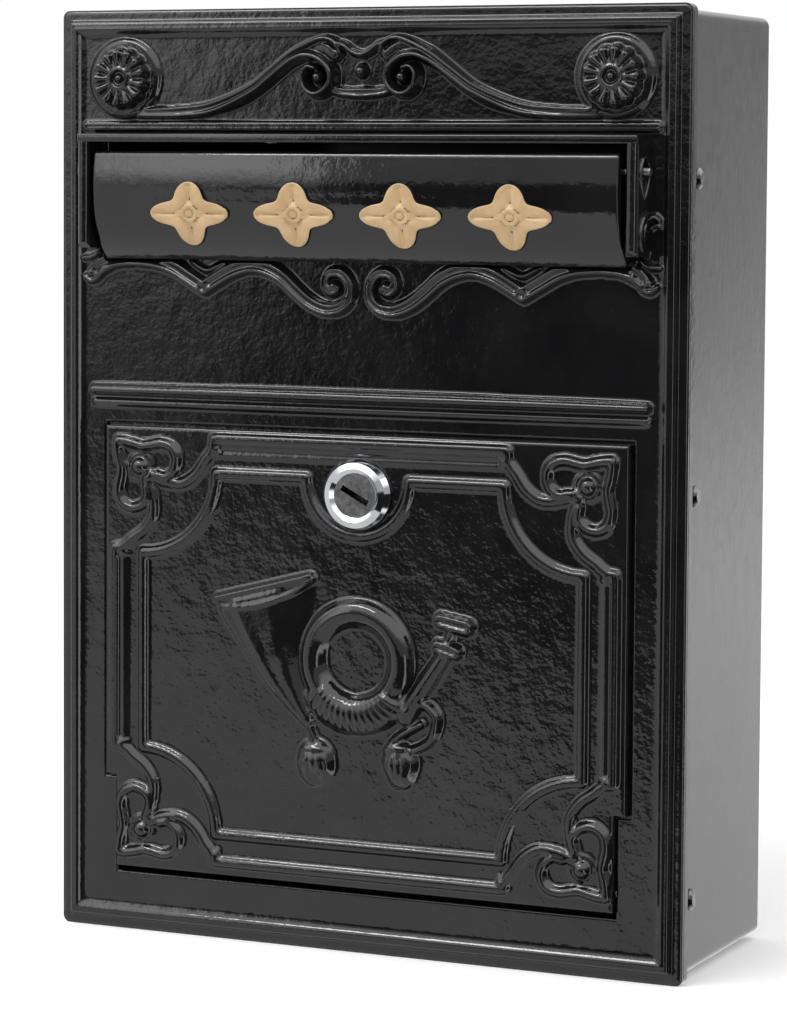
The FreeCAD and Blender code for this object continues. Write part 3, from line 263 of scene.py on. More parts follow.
def raiseRidge(relief, points, width, height, form="round", mirror=False, soft=0.5, add=False,
               smooth=True, blunt=False):
    # a ridge along a line, with its width and height given at even steps
    outside = 9.0  # beyond every ridge's foot
    line = smoothPath(points) if smooth else np.array(points, float)
    run = np.r_[0, np.cumsum(np.hypot(*np.diff(line, axis=0).T))]
    share = run / run[-1]
    widths = np.interp(share, np.linspace(0, 1, len(width)), width)
    heights = np.interp(share, np.linspace(0, 1, len(height)), height)
    for side in (1, -1) if mirror else (1,):
        px, pz = line[:, 0] * side, line[:, 1] + plateFoot
        reach = max(widths) * 0.5 * 1.3 + 0.8
        left = np.searchsorted(relief["xs"], px.min() - reach)
        right = np.searchsorted(relief["xs"], px.max() + reach)
        low = np.searchsorted(relief["zs"], pz.min() - reach)
        high = np.searchsorted(relief["zs"], pz.max() + reach)
        if right - left < 2 or high - low < 2:
            continue
        nearest = np.full((high - low, right - left), outside)
        tall, lean = np.zeros_like(nearest), np.ones_like(nearest)
        for k in range(len(line) - 1):
            i0 = np.searchsorted(relief["xs"], min(px[k], px[k + 1]) - reach)
            i1 = np.searchsorted(relief["xs"], max(px[k], px[k + 1]) + reach)
            j0 = np.searchsorted(relief["zs"], min(pz[k], pz[k + 1]) - reach)
            j1 = np.searchsorted(relief["zs"], max(pz[k], pz[k + 1]) + reach)
            if i1 <= i0 or j1 <= j0:
                continue
            gx, gz = relief["x"][j0:j1, i0:i1] - px[k], relief["z"][j0:j1, i0:i1] - pz[k]
            dx, dz = px[k + 1] - px[k], pz[k + 1] - pz[k]
            t = np.clip((gx * dx + gz * dz) / (dx * dx + dz * dz + 1e-9), 0, 1)
            away = np.hypot(gx - t * dx, gz - t * dz)
            u = away / (0.5 * (widths[k] + (widths[k + 1] - widths[k]) * t))
            spot = (slice(j0 - low, j1 - low), slice(i0 - left, i1 - left))
            closer = u < nearest[spot]
            nearest[spot] = np.where(closer, u, nearest[spot])
            tall[spot] = np.where(closer, heights[k] + (heights[k + 1] - heights[k]) * t, tall[spot])
            lean[spot] = np.where(closer, np.where(dx * gz < dz * gx, -1, 1), lean[spot])
        area = (slice(low, high), slice(left, right))
        if blunt:
            alongX = (relief["x"][area] - px[0]) * (px[1] - px[0])
            alongZ = (relief["z"][area] - pz[0]) * (pz[1] - pz[0])
            nearest[alongX + alongZ < 0] = outside
        rise = tall * ridgeForm(form, nearest * lean) - np.clip(nearest - 1, 0, None) * 6
        old = relief["height"][area]
        if add:
            relief["height"][area] = old + np.where(nearest < 1, rise, 0)
        else:
            relief["height"][area] = blendUp(old, relief["level"][area] + rise, soft)


def raiseNamed(relief, ridges, *names):
    # raises the named ridges, each given as line, widths, heights, form and options
    for name in names:
        line, widths, heights, form, options = ridges[name]
        raiseRidge(relief, line, widths, heights, form, **options)


def raiseRound(relief, x, z, radius, shape, mirror=False, soft=0.5):
    # a round ornament: shape gives its height from the distance and the angle
    for side in (1, -1) if mirror else (1,):
        i0, i1 = np.searchsorted(relief["xs"], [x * side - radius - 1, x * side + radius + 1])
        j0, j1 = np.searchsorted(relief["zs"], [z + plateFoot - radius - 1, z + plateFoot + radius + 1])
        if i1 - i0 < 2 or j1 - j0 < 2:
            continue
        area = (slice(j0, j1), slice(i0, i1))
        gx, gz = (relief["x"][area] - x * side) * side, relief["z"][area] - z - plateFoot
        away = np.hypot(gx, gz)
        rise = shape(away, np.arctan2(gz, gx)) - np.clip(away - radius, 0, None) * 4
        relief["height"][area] = blendUp(relief["height"][area], relief["level"][area] + rise, soft)


def raiseBall(relief, x, z, radius, height, mirror=False, soft=0.5):
    def dome(away, angle):
        return height * np.sqrt(np.clip(1 - (away / radius) ** 2, 0, 1))
    raiseRound(relief, x, z, radius, dome, mirror, soft)


def ring(radius, width, height):
    def shape(away, angle):
        u = np.abs(away - radius) / (width / 2)
        return height * ridgeForm("round", u) - np.clip(u - 1, 0, None) * 4
    return shape


def roundOff(relief, away, radius):
    # rounds an edge from which away is the distance
    near = np.clip(radius - away, 0, radius)
    relief["height"] -= radius - np.sqrt(radius**2 - near**2)


def thickPaint(relief):
    # evens out the finest steps, as paint does over a casting
    for axis in (0, 1):
        padded = np.pad(relief["height"], [(1, 1) if k == axis else (0, 0) for k in (0, 1)], mode="edge")
        before, after = np.delete(padded, [-1, -2], axis), np.delete(padded, [0, 1], axis)
        relief["height"] = (before + 2 * relief["height"] + after) / 4


def awayFromHole(relief, left, right, low, high):
    x, z = relief["x"], relief["z"]
    return np.hypot(np.maximum(0, np.maximum(left - x, x - right)),
                    np.maximum(0, np.maximum(low - z, z - high)))


def castSkin(name, relief, depth, back, holes, material):
    # a grid takes the relief's heights, its holes are cut and its edges run back to a flat rear
    bm = bmesh.new()
    bmesh.ops.create_grid(bm, x_segments=len(relief["xs"]) - 1, y_segments=len(relief["zs"]) - 1, size=1)
    mesh = bpy.data.meshes.new(name)
    bm.to_mesh(mesh)
    bm.clear()
    spots = np.stack([relief["x"], -depth - relief["height"], relief["z"]], axis=-1)
    mesh.vertices.foreach_set("co", (spots * mm).ravel())
    bm.from_mesh(mesh)
    cut = []
    for face in bm.faces:
        middle = face.calc_center_median() / mm
        if any(hole(middle.x, middle.z) for hole in holes):
            cut.append(face)
    bmesh.ops.delete(bm, geom=cut, context="FACES")
    rims = [edge for edge in bm.edges if edge.is_boundary]
    for face in bm.faces:
        face.smooth = True
    walls = bmesh.ops.extrude_edge_only(bm, edges=rims)["geom"]
    for part in walls:
        if isinstance(part, bmesh.types.BMVert):
            part.co.y = -back * mm
    rear = [part for part in walls if isinstance(part, bmesh.types.BMEdge) and part.is_boundary]
    bmesh.ops.triangle_fill(bm, edges=rear, use_beauty=False)
    for edge in rims + rear:
        edge.smooth = False
    bmesh.ops.recalc_face_normals(bm, faces=bm.faces)
    bm.to_mesh(mesh)
    bm.free()
    return addPiece(name, mesh, material)


def addPiece(name, mesh, material):
    piece = bpy.data.objects.new(name, mesh)
    scene.collection.objects.link(piece)
    mesh.materials.clear()
    mesh.materials.append(material)
    return piece


def finishMesh(bm, name, material, crease=32.0):
    # faces outwards, smooth but for the edges that turn more than the crease
    bmesh.ops.recalc_face_normals(bm, faces=bm.faces)
    for face in bm.faces:
        face.smooth = True
    for edge in bm.edges:
        edge.smooth = edge.calc_face_angle(0) < math.radians(crease)
    mesh = bpy.data.meshes.new(name)
    bm.to_mesh(mesh)
    bm.free()
    return addPiece(name, mesh, material)


def rearOf(name, node, depth, material):
    # the rear of a CAD node, cut off at a depth and capped
    bm = bmesh.new()
    bm.from_mesh(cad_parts[node].data)
    bmesh.ops.remove_doubles(bm, verts=bm.verts, dist=0.002 * mm)
    everything = list(bm.verts) + list(bm.edges) + list(bm.faces)
    cut = bmesh.ops.bisect_plane(bm, geom=everything, dist=0.001 * mm, plane_co=(0, -depth * mm, 0),
                                 plane_no=(0, -1, 0), clear_outer=True)
    rim = [part for part in cut["geom_cut"] if isinstance(part, bmesh.types.BMEdge)]
    bmesh.ops.triangle_fill(bm, edges=rim, use_beauty=True)
    piece = finishMesh(bm, name, material)
    for layer in list(piece.data.attributes):
        if layer.name == "custom_normal":
            piece.data.attributes.remove(layer)
    return piece


def prism(bm, outline, left, right):
    # an outline in depth and height, drawn out from left to right
    corners = [bm.verts.new((left * mm, -depth * mm, (up + plateFoot) * mm)) for depth, up in outline]
    start = bm.faces.new(corners)
    grown = bmesh.ops.extrude_face_region(bm, geom=[start], use_keep_orig=True)["geom"]
    bmesh.ops.translate(bm, vec=((right - left) * mm, 0, 0),
                        verts=[part for part in grown if isinstance(part, bmesh.types.BMVert)])
    return start


def roundEdges(bm, edges, radius, segments):
    bmesh.ops.bevel(bm, geom=edges, offset=radius * mm, offset_type="OFFSET", segments=segments, profile=0.5,
                    affect="EDGES", material=-1, clamp_overlap=True)


plate = {
    "halfWidth": 137.5,
    "halfHeight": 190.0,
    "corner": 3.0,
    "edge": 1.6,
    "front": 98.0,
    "rear": 95.9,
    "cut": 97.55,
    "field": 1.3,
    # distance from the plate's edge and height
    "border": [(0.0, 0.0), (4.0, 0.0), (4.3, 0.35), (4.7, 1.6), (5.2, 2.5), (5.9, 3.0), (6.7, 2.75),
               (7.3, 3.05), (8.0, 3.1), (8.8, 2.7), (9.4, 1.9), (10.2, 1.5), (11.2, 1.34), (12.0, 1.3)],
    "borderLines": (4.0, 4.3, 4.6, 4.9, 5.2, 5.6, 6.0, 6.4, 6.8, 7.2, 7.6, 8.0, 8.5, 9.0, 9.5, 10.2, 11.2,
                    12.0),
    "slot": (-115.17, 115.17, 95.03, 135.97),
    "opening": (-116.17, 116.17, -126.0, 21.17),
    "lowerOpening": (-110.47, 110.47, -165.47, -125.9),
    "holeEdge": 0.8,
    "flapShadow": (277.9, 278.2),
    "flapHalf": 115.4,
    # from, to and step of each part's grid
    "topPanel": (137.75, 190.0, 0.5),
    "middle": (21.2, 137.75, 0.56),
    "lower": (-190.0, 21.2, 0.9),
}


def plateRelief(low, high, step):
    halfWidth, halfHeight = plate["halfWidth"], plate["halfHeight"]
    sideMarks = []
    for side in (-1, 1):
        sideMarks += edgeMarks(side * halfWidth, -side, plate["edge"])
        sideMarks += [side * (halfWidth - inset) for inset in plate["borderLines"]]
        for hole in ("slot", "opening", "lowerOpening"):
            sideMarks += edgeMarks(side * plate[hole][1], side, plate["holeEdge"])
    upMarks = edgeMarks(halfHeight, -1, plate["edge"]) + edgeMarks(-halfHeight, 1, plate["edge"])
    upMarks += [side * (halfHeight - inset) for side in (-1, 1) for inset in plate["borderLines"]]
    upMarks += [up + plateFoot for up in plate["flapShadow"]]
    for hole in ("slot", "opening", "lowerOpening"):
        upMarks += edgeMarks(plate[hole][2], -1, plate["holeEdge"])
        upMarks += edgeMarks(plate[hole][3], 1, plate["holeEdge"])
    relief = newRelief(gridLines(-halfWidth, halfWidth, step, sideMarks), gridLines(low, high, step, upMarks))
    # square corners of the grid are drawn in to the plate's rounded ones
    x, z, corner = relief["x"], relief["z"], plate["corner"]
    across = np.clip((np.abs(x) - halfWidth + corner) / corner, 0, 1)
    upward = np.clip((np.abs(z) - halfHeight + corner) / corner, 0, 1)
    both = (across > 0) & (upward > 0)
    x[both] -= (np.sign(x) * corner * across * (1 - np.sqrt(1 - upward**2 / 2)))[both]
    z[both] -= (np.sign(z) * corner * upward * (1 - np.sqrt(1 - across**2 / 2)))[both]
    inX, inZ = halfWidth - np.abs(x), halfHeight - np.abs(z)
    atCorner = (inX < corner) & (inZ < corner)
    inset = np.where(atCorner, corner - np.hypot(corner - inX, corner - inZ), np.minimum(inX, inZ))
    inset = np.clip(inset, 0, None)
    relief["height"] = np.interp(inset, *zip(*plate["border"]))
    relief["level"] = np.full_like(x, plate["field"])
    relief["inset"] = inset
    return relief


def finishPlate(relief):
    thickPaint(relief)
    roundOff(relief, relief["inset"], plate["edge"])
    gap = np.minimum(awayFromHole(relief, *plate["slot"]), awayFromHole(relief, *plate["opening"]))
    gap = np.minimum(gap, awayFromHole(relief, *plate["lowerOpening"]))
    roundOff(relief, gap, plate["holeEdge"])


def inHole(name):
    left, right, low, high = plate[name]
    return lambda x, z: left < x < right and low < z < high


plateHoles = [inHole("slot"), inHole("opening"), inHole("lowerOpening")]

rosette = {
    "x": 107.2,
    "up": 352.0,
    "radius": 16.5,
    "base": 1.8,
    "baseEdge": 1.6,
    "flower": 12.4,
    "petals": 13,
    "valley": 0.93,
    "notch": 0.07,
    "height": 8.0,
    "cup": 6.8,
    "heart": 5.0,
    "swell": 0.5,
    "tipEdge": 1.3,
    "groove": 2.6,
    "grooveStart": 4.6,
    "bud": 3.8,
    "budWidth": 1.3,
    "budHeight": 7.7,
    "budFloor": 5.4,
    "button": 2.2,
}


def rosetteShape(away, angle):
    turn = np.abs(np.cos(rosette["petals"] * angle / 2))
    dish = rosette["base"] * np.clip((rosette["radius"] - away) / rosette["baseEdge"], 0, 1) ** 0.5
    tip = rosette["flower"] * (rosette["valley"] + rosette["notch"] * turn**0.7)
    inward = np.clip((tip - away) / (tip - rosette["heart"]), 0, 1)
    petal = rosette["height"] - (rosette["height"] - rosette["cup"]) * inward
    petal -= rosette["groove"] * (1 - turn) ** 1.6 * np.clip((away - rosette["grooveStart"]) / 2.5, 0, 1)
    petal += rosette["swell"] * np.sin(np.pi * inward) * turn
    petal *= np.clip((tip - away) / rosette["tipEdge"], 0, 1) ** 0.4
    budSection = np.clip(1 - ((away - rosette["bud"]) / rosette["budWidth"]) ** 2, 0, 1)
    bud = rosette["budHeight"] * np.sqrt(budSection)
    button = rosette["height"] * np.sqrt(np.clip(1 - (away / rosette["button"]) ** 4, 0, 1))
    flower = np.where(away < rosette["bud"], rosette["budFloor"], petal)
    return np.maximum(np.maximum(dish, flower), np.maximum(bud, button))


paired = {"mirror": True, "soft": 0.3}  # for ridges at both sides
scroll = {
    "band": ([(-99.5, 338), (-79.7, 338.6), (-64.7, 340.3), (-54.7, 343.4), (-44.7, 349.2), (-34.7, 357),
              (-28.7, 361.2), (-22, 363.8), (-16, 363.8), (-11.6, 361)],
             [3, 3.6, 5.5, 6, 5.5], [1.8, 2.2, 2.6, 3.6, 4.0], "flat", {"mirror": True}),
    "upper": ([(-97.5, 339.6), (-84, 339.9), (-70.7, 341), (-60, 344), (-48.6, 348.9), (-40.2, 354.8),
               (-30.7, 361.6), (-23, 365.5), (-17.6, 367.4), (-13.5, 367.3), (-10.2, 365.2), (-8.6, 361.8)],
              [1.2, 1.8, 2.2, 2.6, 2.4], [2.4, 3.6, 5.0, 6.6, 6.0], "round", paired),
    "lower": ([(-101, 336.6), (-80.7, 337), (-65.7, 339), (-48.5, 346.2), (-40.7, 351.4), (-32.7, 357.2),
               (-28, 359.8), (-23.5, 361), (-17.8, 359.8), (-12.9, 355.6), (-12.2, 350.9), (-14.8, 347.2),
               (-19.3, 345.6), (-23.6, 348.2), (-24.7, 353.1), (-22.4, 356.4), (-19.0, 355.8)],
              [1.3, 2.0, 2.6, 3.4, 4.2, 4.0, 3.0], [2.2, 3.2, 4.6, 6.2, 7.6, 7.8, 7.4], "round",
              paired),
    "link": ([(-9.8, 365.6), (-7, 364.6), (-4, 362.4), (0, 361.1), (4, 362.4), (7, 364.6), (9.8, 365.6)],
             [2.6, 3.0, 2.6], [5.6, 5.0, 5.6], "round", {"soft": 0.3}),
    "collar": ([(-13.5, 347.6), (-8, 346.3), (0, 346), (8, 346.3), (13.5, 347.6)],
               [3.4, 4.4, 3.4], [4.0, 4.6, 4.0], "twin", {"soft": 0.3}),
    "rail": ([(-124.8, 332.6), (124.8, 332.6)], [4.6, 4.6], [1.9, 1.9], "rail",
             {"smooth": False, "soft": 0.3}),
    # place, radius and height
    "eye": (-18.3, 352.2, 3.0, 7.0),
    "pearl": (0, 354.5, 2.8, 5.4),
}
topPanel = plateRelief(*plate["topPanel"])
raiseNamed(topPanel, scroll, "band", "upper", "lower")
raiseBall(topPanel, *scroll["eye"], True)
raiseNamed(topPanel, scroll, "link", "collar")
raiseBall(topPanel, *scroll["pearl"])
raiseRound(topPanel, rosette["x"], rosette["up"], rosette["radius"], rosetteShape, True, 0.25)
raiseNamed(topPanel, scroll, "rail")
finishPlate(topPanel)
print("top panel shaped")

apron = {
    "sides": ([(-119.8, 273.6), (-116.2, 276.6), (-104.7, 278.4), (-92.7, 277.8), (-84.7, 275.6),
               (-77.7, 271.8), (-69.9, 267.2)],
              [6.2, 6.6, 6.8, 6.6], [3.4, 4.4, 4.6, 4.4], "twin", paired),
    "middle": ([(-69.9, 267.2), (-64.7, 270.4), (-56.7, 274.6), (-48.7, 276.6), (-41.7, 275.6),
                (-34.7, 272.3), (-27.7, 266.4), (-21.7, 262.1), (-14.7, 259.6), (-8.3, 260.7),
                (-4.6, 264.8), (-4.8, 270.6), (-8.7, 274.4), (-13.7, 273.8), (-15.4, 269.8),
                (-12.7, 266.8), (-9.8, 268.0)],
               [6.6, 6.8, 6.6, 6.2, 5.2, 4.2, 3.4], [4.4, 4.6, 4.6, 4.8, 5.0, 5.0, 5.0], "twin",
               paired),
    "inner": ([(-76.5, 278.0), (-72.2, 275.4), (-68.2, 274.4), (-62, 277.0), (-54.7, 279.4)],
              [1.8, 2.4, 1.8], [1.6, 2.8, 1.6], "round", {"mirror": True}),
    "hook": ([(-104, 276.0), (-110.3, 275.6), (-116.0, 273.2), (-119.8, 270.0), (-122.6, 269.2),
              (-125.2, 271.0)],
             [2.2, 2.8, 2.6], [2.8, 4.0, 3.4], "round", paired),
    "eye": (-11.4, 269.2, 2.2, 5.2),
    "knob": (-122.2, 272.6, 2.1, 4.2),
}
hoodScroll = {
    "curl": ([(-126.2, 296.6), (-123.3, 298.2), (-119.8, 295.2), (-118.4, 290), (-118.8, 286),
              (-120.4, 283.6)],
             [1.8, 2.6, 2.6, 2.2], [3.0, 4.4, 4.4, 3.0], "round", paired),
    "curlInner": ([(-126.2, 294.6), (-123.8, 295), (-122.2, 293.6)],
                  [1.6, 1.6], [3.0, 3.0], "round", {"mirror": True}),
    "foot": ([(-118.4, 281.2), (-121.4, 279.2), (-126.4, 278.6)],
             [2.2, 2.6, 2.2], [2.6, 3.4, 2.6], "round", paired),
}
ledge = {
    "upper": ([(-121.3, 224.6), (-60, 224.8), (0, 224.8), (60, 224.8), (121.3, 224.6)],
              [4.4, 5.4, 5.4, 4.4], [4.2, 5.0, 5.0, 4.2], "round", {}),
    "lower": ([(-121, 219.4), (-60, 219.4), (0, 219.4), (60, 219.4), (121, 219.4)],
              [3.4, 4.0, 4.0, 3.4], [1.6, 2.0, 2.0, 1.6], "round", {}),
}
frontMiddle = plateRelief(*plate["middle"])
raiseNamed(frontMiddle, apron, "sides", "middle")
raiseBall(frontMiddle, *apron["eye"], True)
raiseNamed(frontMiddle, apron, "inner", "hook")
raiseBall(frontMiddle, *apron["knob"], True)
raiseNamed(frontMiddle, hoodScroll, "curl", "curlInner", "foot")
# what lies under the flap's lower edge stays low, so that the flap can swing
shadowFoot = plate["flapShadow"][0] + 0.1 + plateFoot
under = (np.abs(frontMiddle["x"]) < plate["flapHalf"]) & (frontMiddle["z"] > shadowFoot)
frontMiddle["height"][under] = np.minimum(frontMiddle["height"], plate["field"])[under]
raiseNamed(frontMiddle, ledge, "upper", "lower")
finishPlate(frontMiddle)
frontLower = plateRelief(*plate["lower"])
finishPlate(frontLower)

for name, relief in (("castTopPanel", topPanel), ("castMiddle", frontMiddle), ("castDoorFrame", frontLower)):
    piece = castSkin(name, relief, plate["front"], plate["rear"], plateHoles, castEnamel)
    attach(piece, "box")
    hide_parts("front_frame")
    print(name, "made with", len(piece.data.polygons), "faces")
castRear = rearOf("castRear", "front_frame", plate["cut"], castEnamel)
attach(castRear, "box")
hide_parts("front_frame")

hood = {
    "half": 121.8,
    "inner": 116.7,
    "root": 98.4,
    "front": 114.6,
    "top": 329.5,
    "bar": 326.0,
    "cheek": [(98.4, 283), (112.1, 283), (114.6, 285.5)],
    "edge": 0.9,
    "cheekRound": 2.2,
    "flank": [
        # the leaf round the rod's end and the curl under it, in depth and height
        [(106.4, 305.0), (109.6, 309.2), (111.6, 314.2), (109.8, 319.2), (106.4, 320.6), (103.2, 318.8),
         (101.8, 314.2), (103.6, 309.4), (106.4, 305.0)],
        [(100.6, 299.4), (104.6, 299.2), (108.8, 296.4), (111.0, 291.8), (110.4, 287.6), (108.2, 285.2)],
        [(101.4, 295.6), (104.6, 295.4), (106.8, 293.0), (106.6, 290.4)],
    ],
}
bm = bmesh.new()
barFront = hood["front"] + 0.05
bar = [(hood["root"], hood["bar"]), (barFront, hood["bar"]), (barFront, hood["top"]),
       (hood["root"], hood["top"])]
cheek = hood["cheek"] + [(hood["front"], hood["top"] - 0.8), (hood["root"], hood["top"] - 0.8)]
prism(bm, bar, -hood["half"], hood["half"])
for side in (-1, 1):
    prism(bm, cheek, side * hood["inner"], side * (hood["half"] - 0.03))
bmesh.ops.recalc_face_normals(bm, faces=bm.faces)
fronts = [edge for edge in bm.edges
          if min(-vert.co.y for vert in edge.verts) > (hood["front"] - 0.02) * mm
          and abs(edge.verts[0].co.z - edge.verts[1].co.z) > 20 * mm]
roundEdges(bm, fronts, hood["cheekRound"], 6)
barEdges = [edge for edge in bm.edges
            if min(-vert.co.y for vert in edge.verts) > (hood["front"] + 0.03) * mm
            and edge.calc_face_angle(0) > 0.7]
roundEdges(bm, barEdges, hood["edge"], 4)


def roundBar(bm, spots, radii):
    # a round bar along a smooth line, closed at both ends
    before = None
    for k, (spot, radius) in enumerate(zip(spots, radii)):
        along = Vector(spots[min(k + 1, len(spots) - 1)]) - Vector(spots[max(k - 1, 0)])
        place = Matrix.Translation(spot) @ along.to_track_quat("Z", "Y").to_matrix().to_4x4()
        circle = bmesh.ops.create_circle(bm, cap_ends=k in (0, len(spots) - 1), segments=10, radius=radius,
                                         matrix=place)["verts"]
        edges = list({edge for vert in circle for edge in vert.link_edges})
        if before:
            bmesh.ops.bridge_loops(bm, edges=before + edges)
        before = edges


for side in (-1, 1):
    for line in hood["flank"]:
        path = smoothPath(line, 0.9)
        taper = np.interp(np.linspace(0, 1, len(path)), [0, 0.25, 0.75, 1], [0.55, 0.95, 0.95, 0.55])
        spots = [(side * (hood["half"] + 0.1) * mm, -depth * mm, (up + plateFoot) * mm) for depth, up in path]
        roundBar(bm, spots, taper * mm)
hoodPiece = finishMesh(bm, "castHood", castEnamel, 40.0)
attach(hoodPiece, "box")
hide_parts("front_frame")
print("front casting made")

flap = {
    "half": 114.2,
    "wall": 3.0,
    "back": 99.6,
    "heel": (99.6, 280.2),
    "tip": (103.6, 278.7),
    "belly": (114.7, 304.0),
    "brow": (114.1, 319.6),
    "crown": (111.7, 322.6),
    "lowerRadius": 34.0,
    "upperRadius": 60.0,
    "crownRadius": 2.7,
    "edge": 1.1,
}


def arcBetween(start, end, radius, parts):
    # points of the arc that bulges outwards between two points of the flap's section
    (d0, u0), (d1, u1) = start, end
    run, rise = d1 - d0, u1 - u0
    chord = math.hypot(run, rise)
    off = math.sqrt(radius**2 - chord**2 / 4)
    cd, cu = (d0 + d1) / 2 - rise / chord * off, (u0 + u1) / 2 + run / chord * off
    a0, a1 = math.atan2(u0 - cu, d0 - cd), math.atan2(u1 - cu, d1 - cd)
    return [(cd + radius * math.cos(a0 + (a1 - a0) * k / parts),
             cu + radius * math.sin(a0 + (a1 - a0) * k / parts)) for k in range(parts + 1)]


flapFront = arcBetween(flap["tip"], flap["belly"], flap["lowerRadius"], 20)
flapFront += arcBetween(flap["belly"], flap["brow"], flap["upperRadius"], 10)[1:]
flapFront += arcBetween(flap["brow"], flap["crown"], flap["crownRadius"], 6)[1:]
flapSection = [flap["heel"]] + flapFront + [(flap["back"], flap["crown"][1])]


def flapDepth(up):
    return np.interp(up, [spot[1] for spot in flapFront], [spot[0] for spot in flapFront])


bm = bmesh.new()
prism(bm, flapSection, -flap["half"], flap["half"])
bmesh.ops.recalc_face_normals(bm, faces=bm.faces)
ends = [edge for edge in bm.edges
        if abs(edge.verts[0].co.x - edge.verts[1].co.x) < mm * 0.01
        and max(-vert.co.y for vert in edge.verts) > (flap["back"] + 0.1) * mm]
roundEdges(bm, ends, flap["edge"], 4)
openBack = [face for face in bm.faces if face.normal.y > 0.99 and face.calc_area() > 1e-3]
bmesh.ops.delete(bm, geom=openBack, context="FACES")
bmesh.ops.recalc_face_normals(bm, faces=bm.faces)
bmesh.ops.solidify(bm, geom=list(bm.faces), thickness=flap["wall"] * mm)
flapPiece = finishMesh(bm, "letterFlap", castEnamel, 35.0)
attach(flapPiece, "flap")
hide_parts("letter_flap")

ornament = {
    "places": (-69.75, -23.25, 23.25, 69.75),
    "up": 297.5,
    "size": 26.0,
    "lobe": 0.40,
    "lobeSwing": 0.10,
    "stretch": 1.35,
    "bud": 0.35,
    "budStretch": 1.1,
    "height": 1.6,
    # share of the reach and of the height, from the foot to the middle
    "rings": [(1.0, -0.6), (1.0, 0.62), (0.985, 0.86), (0.955, 0.97), (0.9, 1.0), (0.82, 0.97), (0.68, 0.84),
              (0.52, 0.66), (0.42, 0.46), (0.36, 0.36), (0.335, 0.78), (0.29, 0.96), (0.22, 0.9), (0.16, 0.6),
              (0.13, 0.95), (0.06, 1.0)],
    "vein": 0.6,
}
bm = bmesh.new()
for place in ornament["places"]:
    rim = bmesh.ops.create_circle(bm, segments=96, radius=1.0)["verts"]
    edges = list({edge for vert in rim for edge in vert.link_edges})
    loops = [rim]
    for _ in ornament["rings"][1:]:
        grown = bmesh.ops.extrude_edge_only(bm, edges=edges)["geom"]
        edges = [part for part in grown if isinstance(part, bmesh.types.BMEdge) and len(part.link_faces) == 1]
        loops.append([part for part in grown if isinstance(part, bmesh.types.BMVert)])
    for loop, (share, lift) in zip(loops, ornament["rings"]):
        for vert in loop:
            angle = math.atan2(vert.co.y, vert.co.x)
            stretch, lobe = ornament["budStretch"], ornament["lobe"]
            if share > ornament["bud"]:
                stretch = ornament["stretch"]
                lobe += ornament["lobeSwing"] * math.cos(4 * angle)
            reach = ornament["size"] * lobe * share
            vein = math.cos(4 * angle) ** 16 if math.cos(4 * angle) > 0 and 0.4 < share < 0.93 else 0
            x = place + reach * math.cos(angle) * stretch
            up = ornament["up"] + reach * math.sin(angle)
            depth = flapDepth(up) + ornament["height"] * (lift - ornament["vein"] * vein)
            vert.co = (x * mm, -depth * mm, (up + plateFoot) * mm)
    bmesh.ops.contextual_create(bm, geom=edges)
    bmesh.ops.contextual_create(bm, geom=[edge for edge in bm.edges if edge.is_boundary])
goldPiece = finishMesh(bm, "goldOrnaments", goldPaint, 50.0)
goldPiece.data.materials.append(castEnamel)
for face in goldPiece.data.polygons:
    face.material_index = 1 if face.normal.y > -0.45 else 0  # only the faces are gilded, not their walls
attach(goldPiece, "flap")
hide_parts("letter_flap")
print("letter flap made")

door = {
    "half": 115.0,
    "low": 27.0,
    "high": 210.0,
    "front": 102.2,
    "rear": 98.6,
    "cut": 98.65,
    "notchHalf": 110.0,
    "notchTop": 65.2,
    "edge": 1.2,
    "middle": 119.2,
    "innerSide": 97.0,
    "innerLow": 43.9,
    "innerHigh": 192.0,
    "sweep": 33.7,
    "innerBand": ([4.4, 4.4], [2.2, 2.2], "rail"),
    "lockUp": 186.0,
    "lockSweep": 22.6,
    "lockHole": 9.75,
    "step": 0.69,
}
doorMarks = {"x": [], "z": []}
for side in (-1, 1):
    doorMarks["x"] += edgeMarks(side * door["half"], -side, door["edge"])
    doorMarks["x"] += edgeMarks(side * door["notchHalf"], -side, door["edge"])
doorMarks["z"] += edgeMarks(door["low"] + plateFoot, 1, door["edge"])
doorMarks["z"] += edgeMarks(door["notchTop"] + plateFoot, 1, door["edge"])
doorMarks["z"] += edgeMarks(door["high"] + plateFoot, -1, door["edge"])
leaf = newRelief(
    gridLines(-door["half"], door["half"], door["step"], doorMarks["x"]),
    gridLines(door["low"] + plateFoot, door["high"] + plateFoot, door["step"], doorMarks["z"]),
)

# the quarter sweeps, rails and the dip round the lock form one inner frame
side, sweep = door["innerSide"], door["sweep"]


def quarter(x, up, radius, start, end, parts=16):
    return [(x + radius * math.cos(math.radians(start + (end - start) * k / parts)),
             up + radius * math.sin(math.radians(start + (end - start) * k / parts)))
            for k in range(parts + 1)]


innerFrame = quarter(0, door["innerHigh"], door["lockSweep"], 180, 360, 28)
innerFrame += quarter(side, door["innerHigh"], sweep, 180, 270)
innerFrame += quarter(side, door["innerLow"], sweep, 90, 180)
innerFrame += quarter(-side, door["innerLow"], sweep, 0, 90)
innerFrame += quarter(-side, door["innerHigh"], sweep, 270, 360)
innerFrame.append(innerFrame[0])
raiseRidge(leaf, innerFrame, *door["innerBand"], soft=0.2, smooth=False)

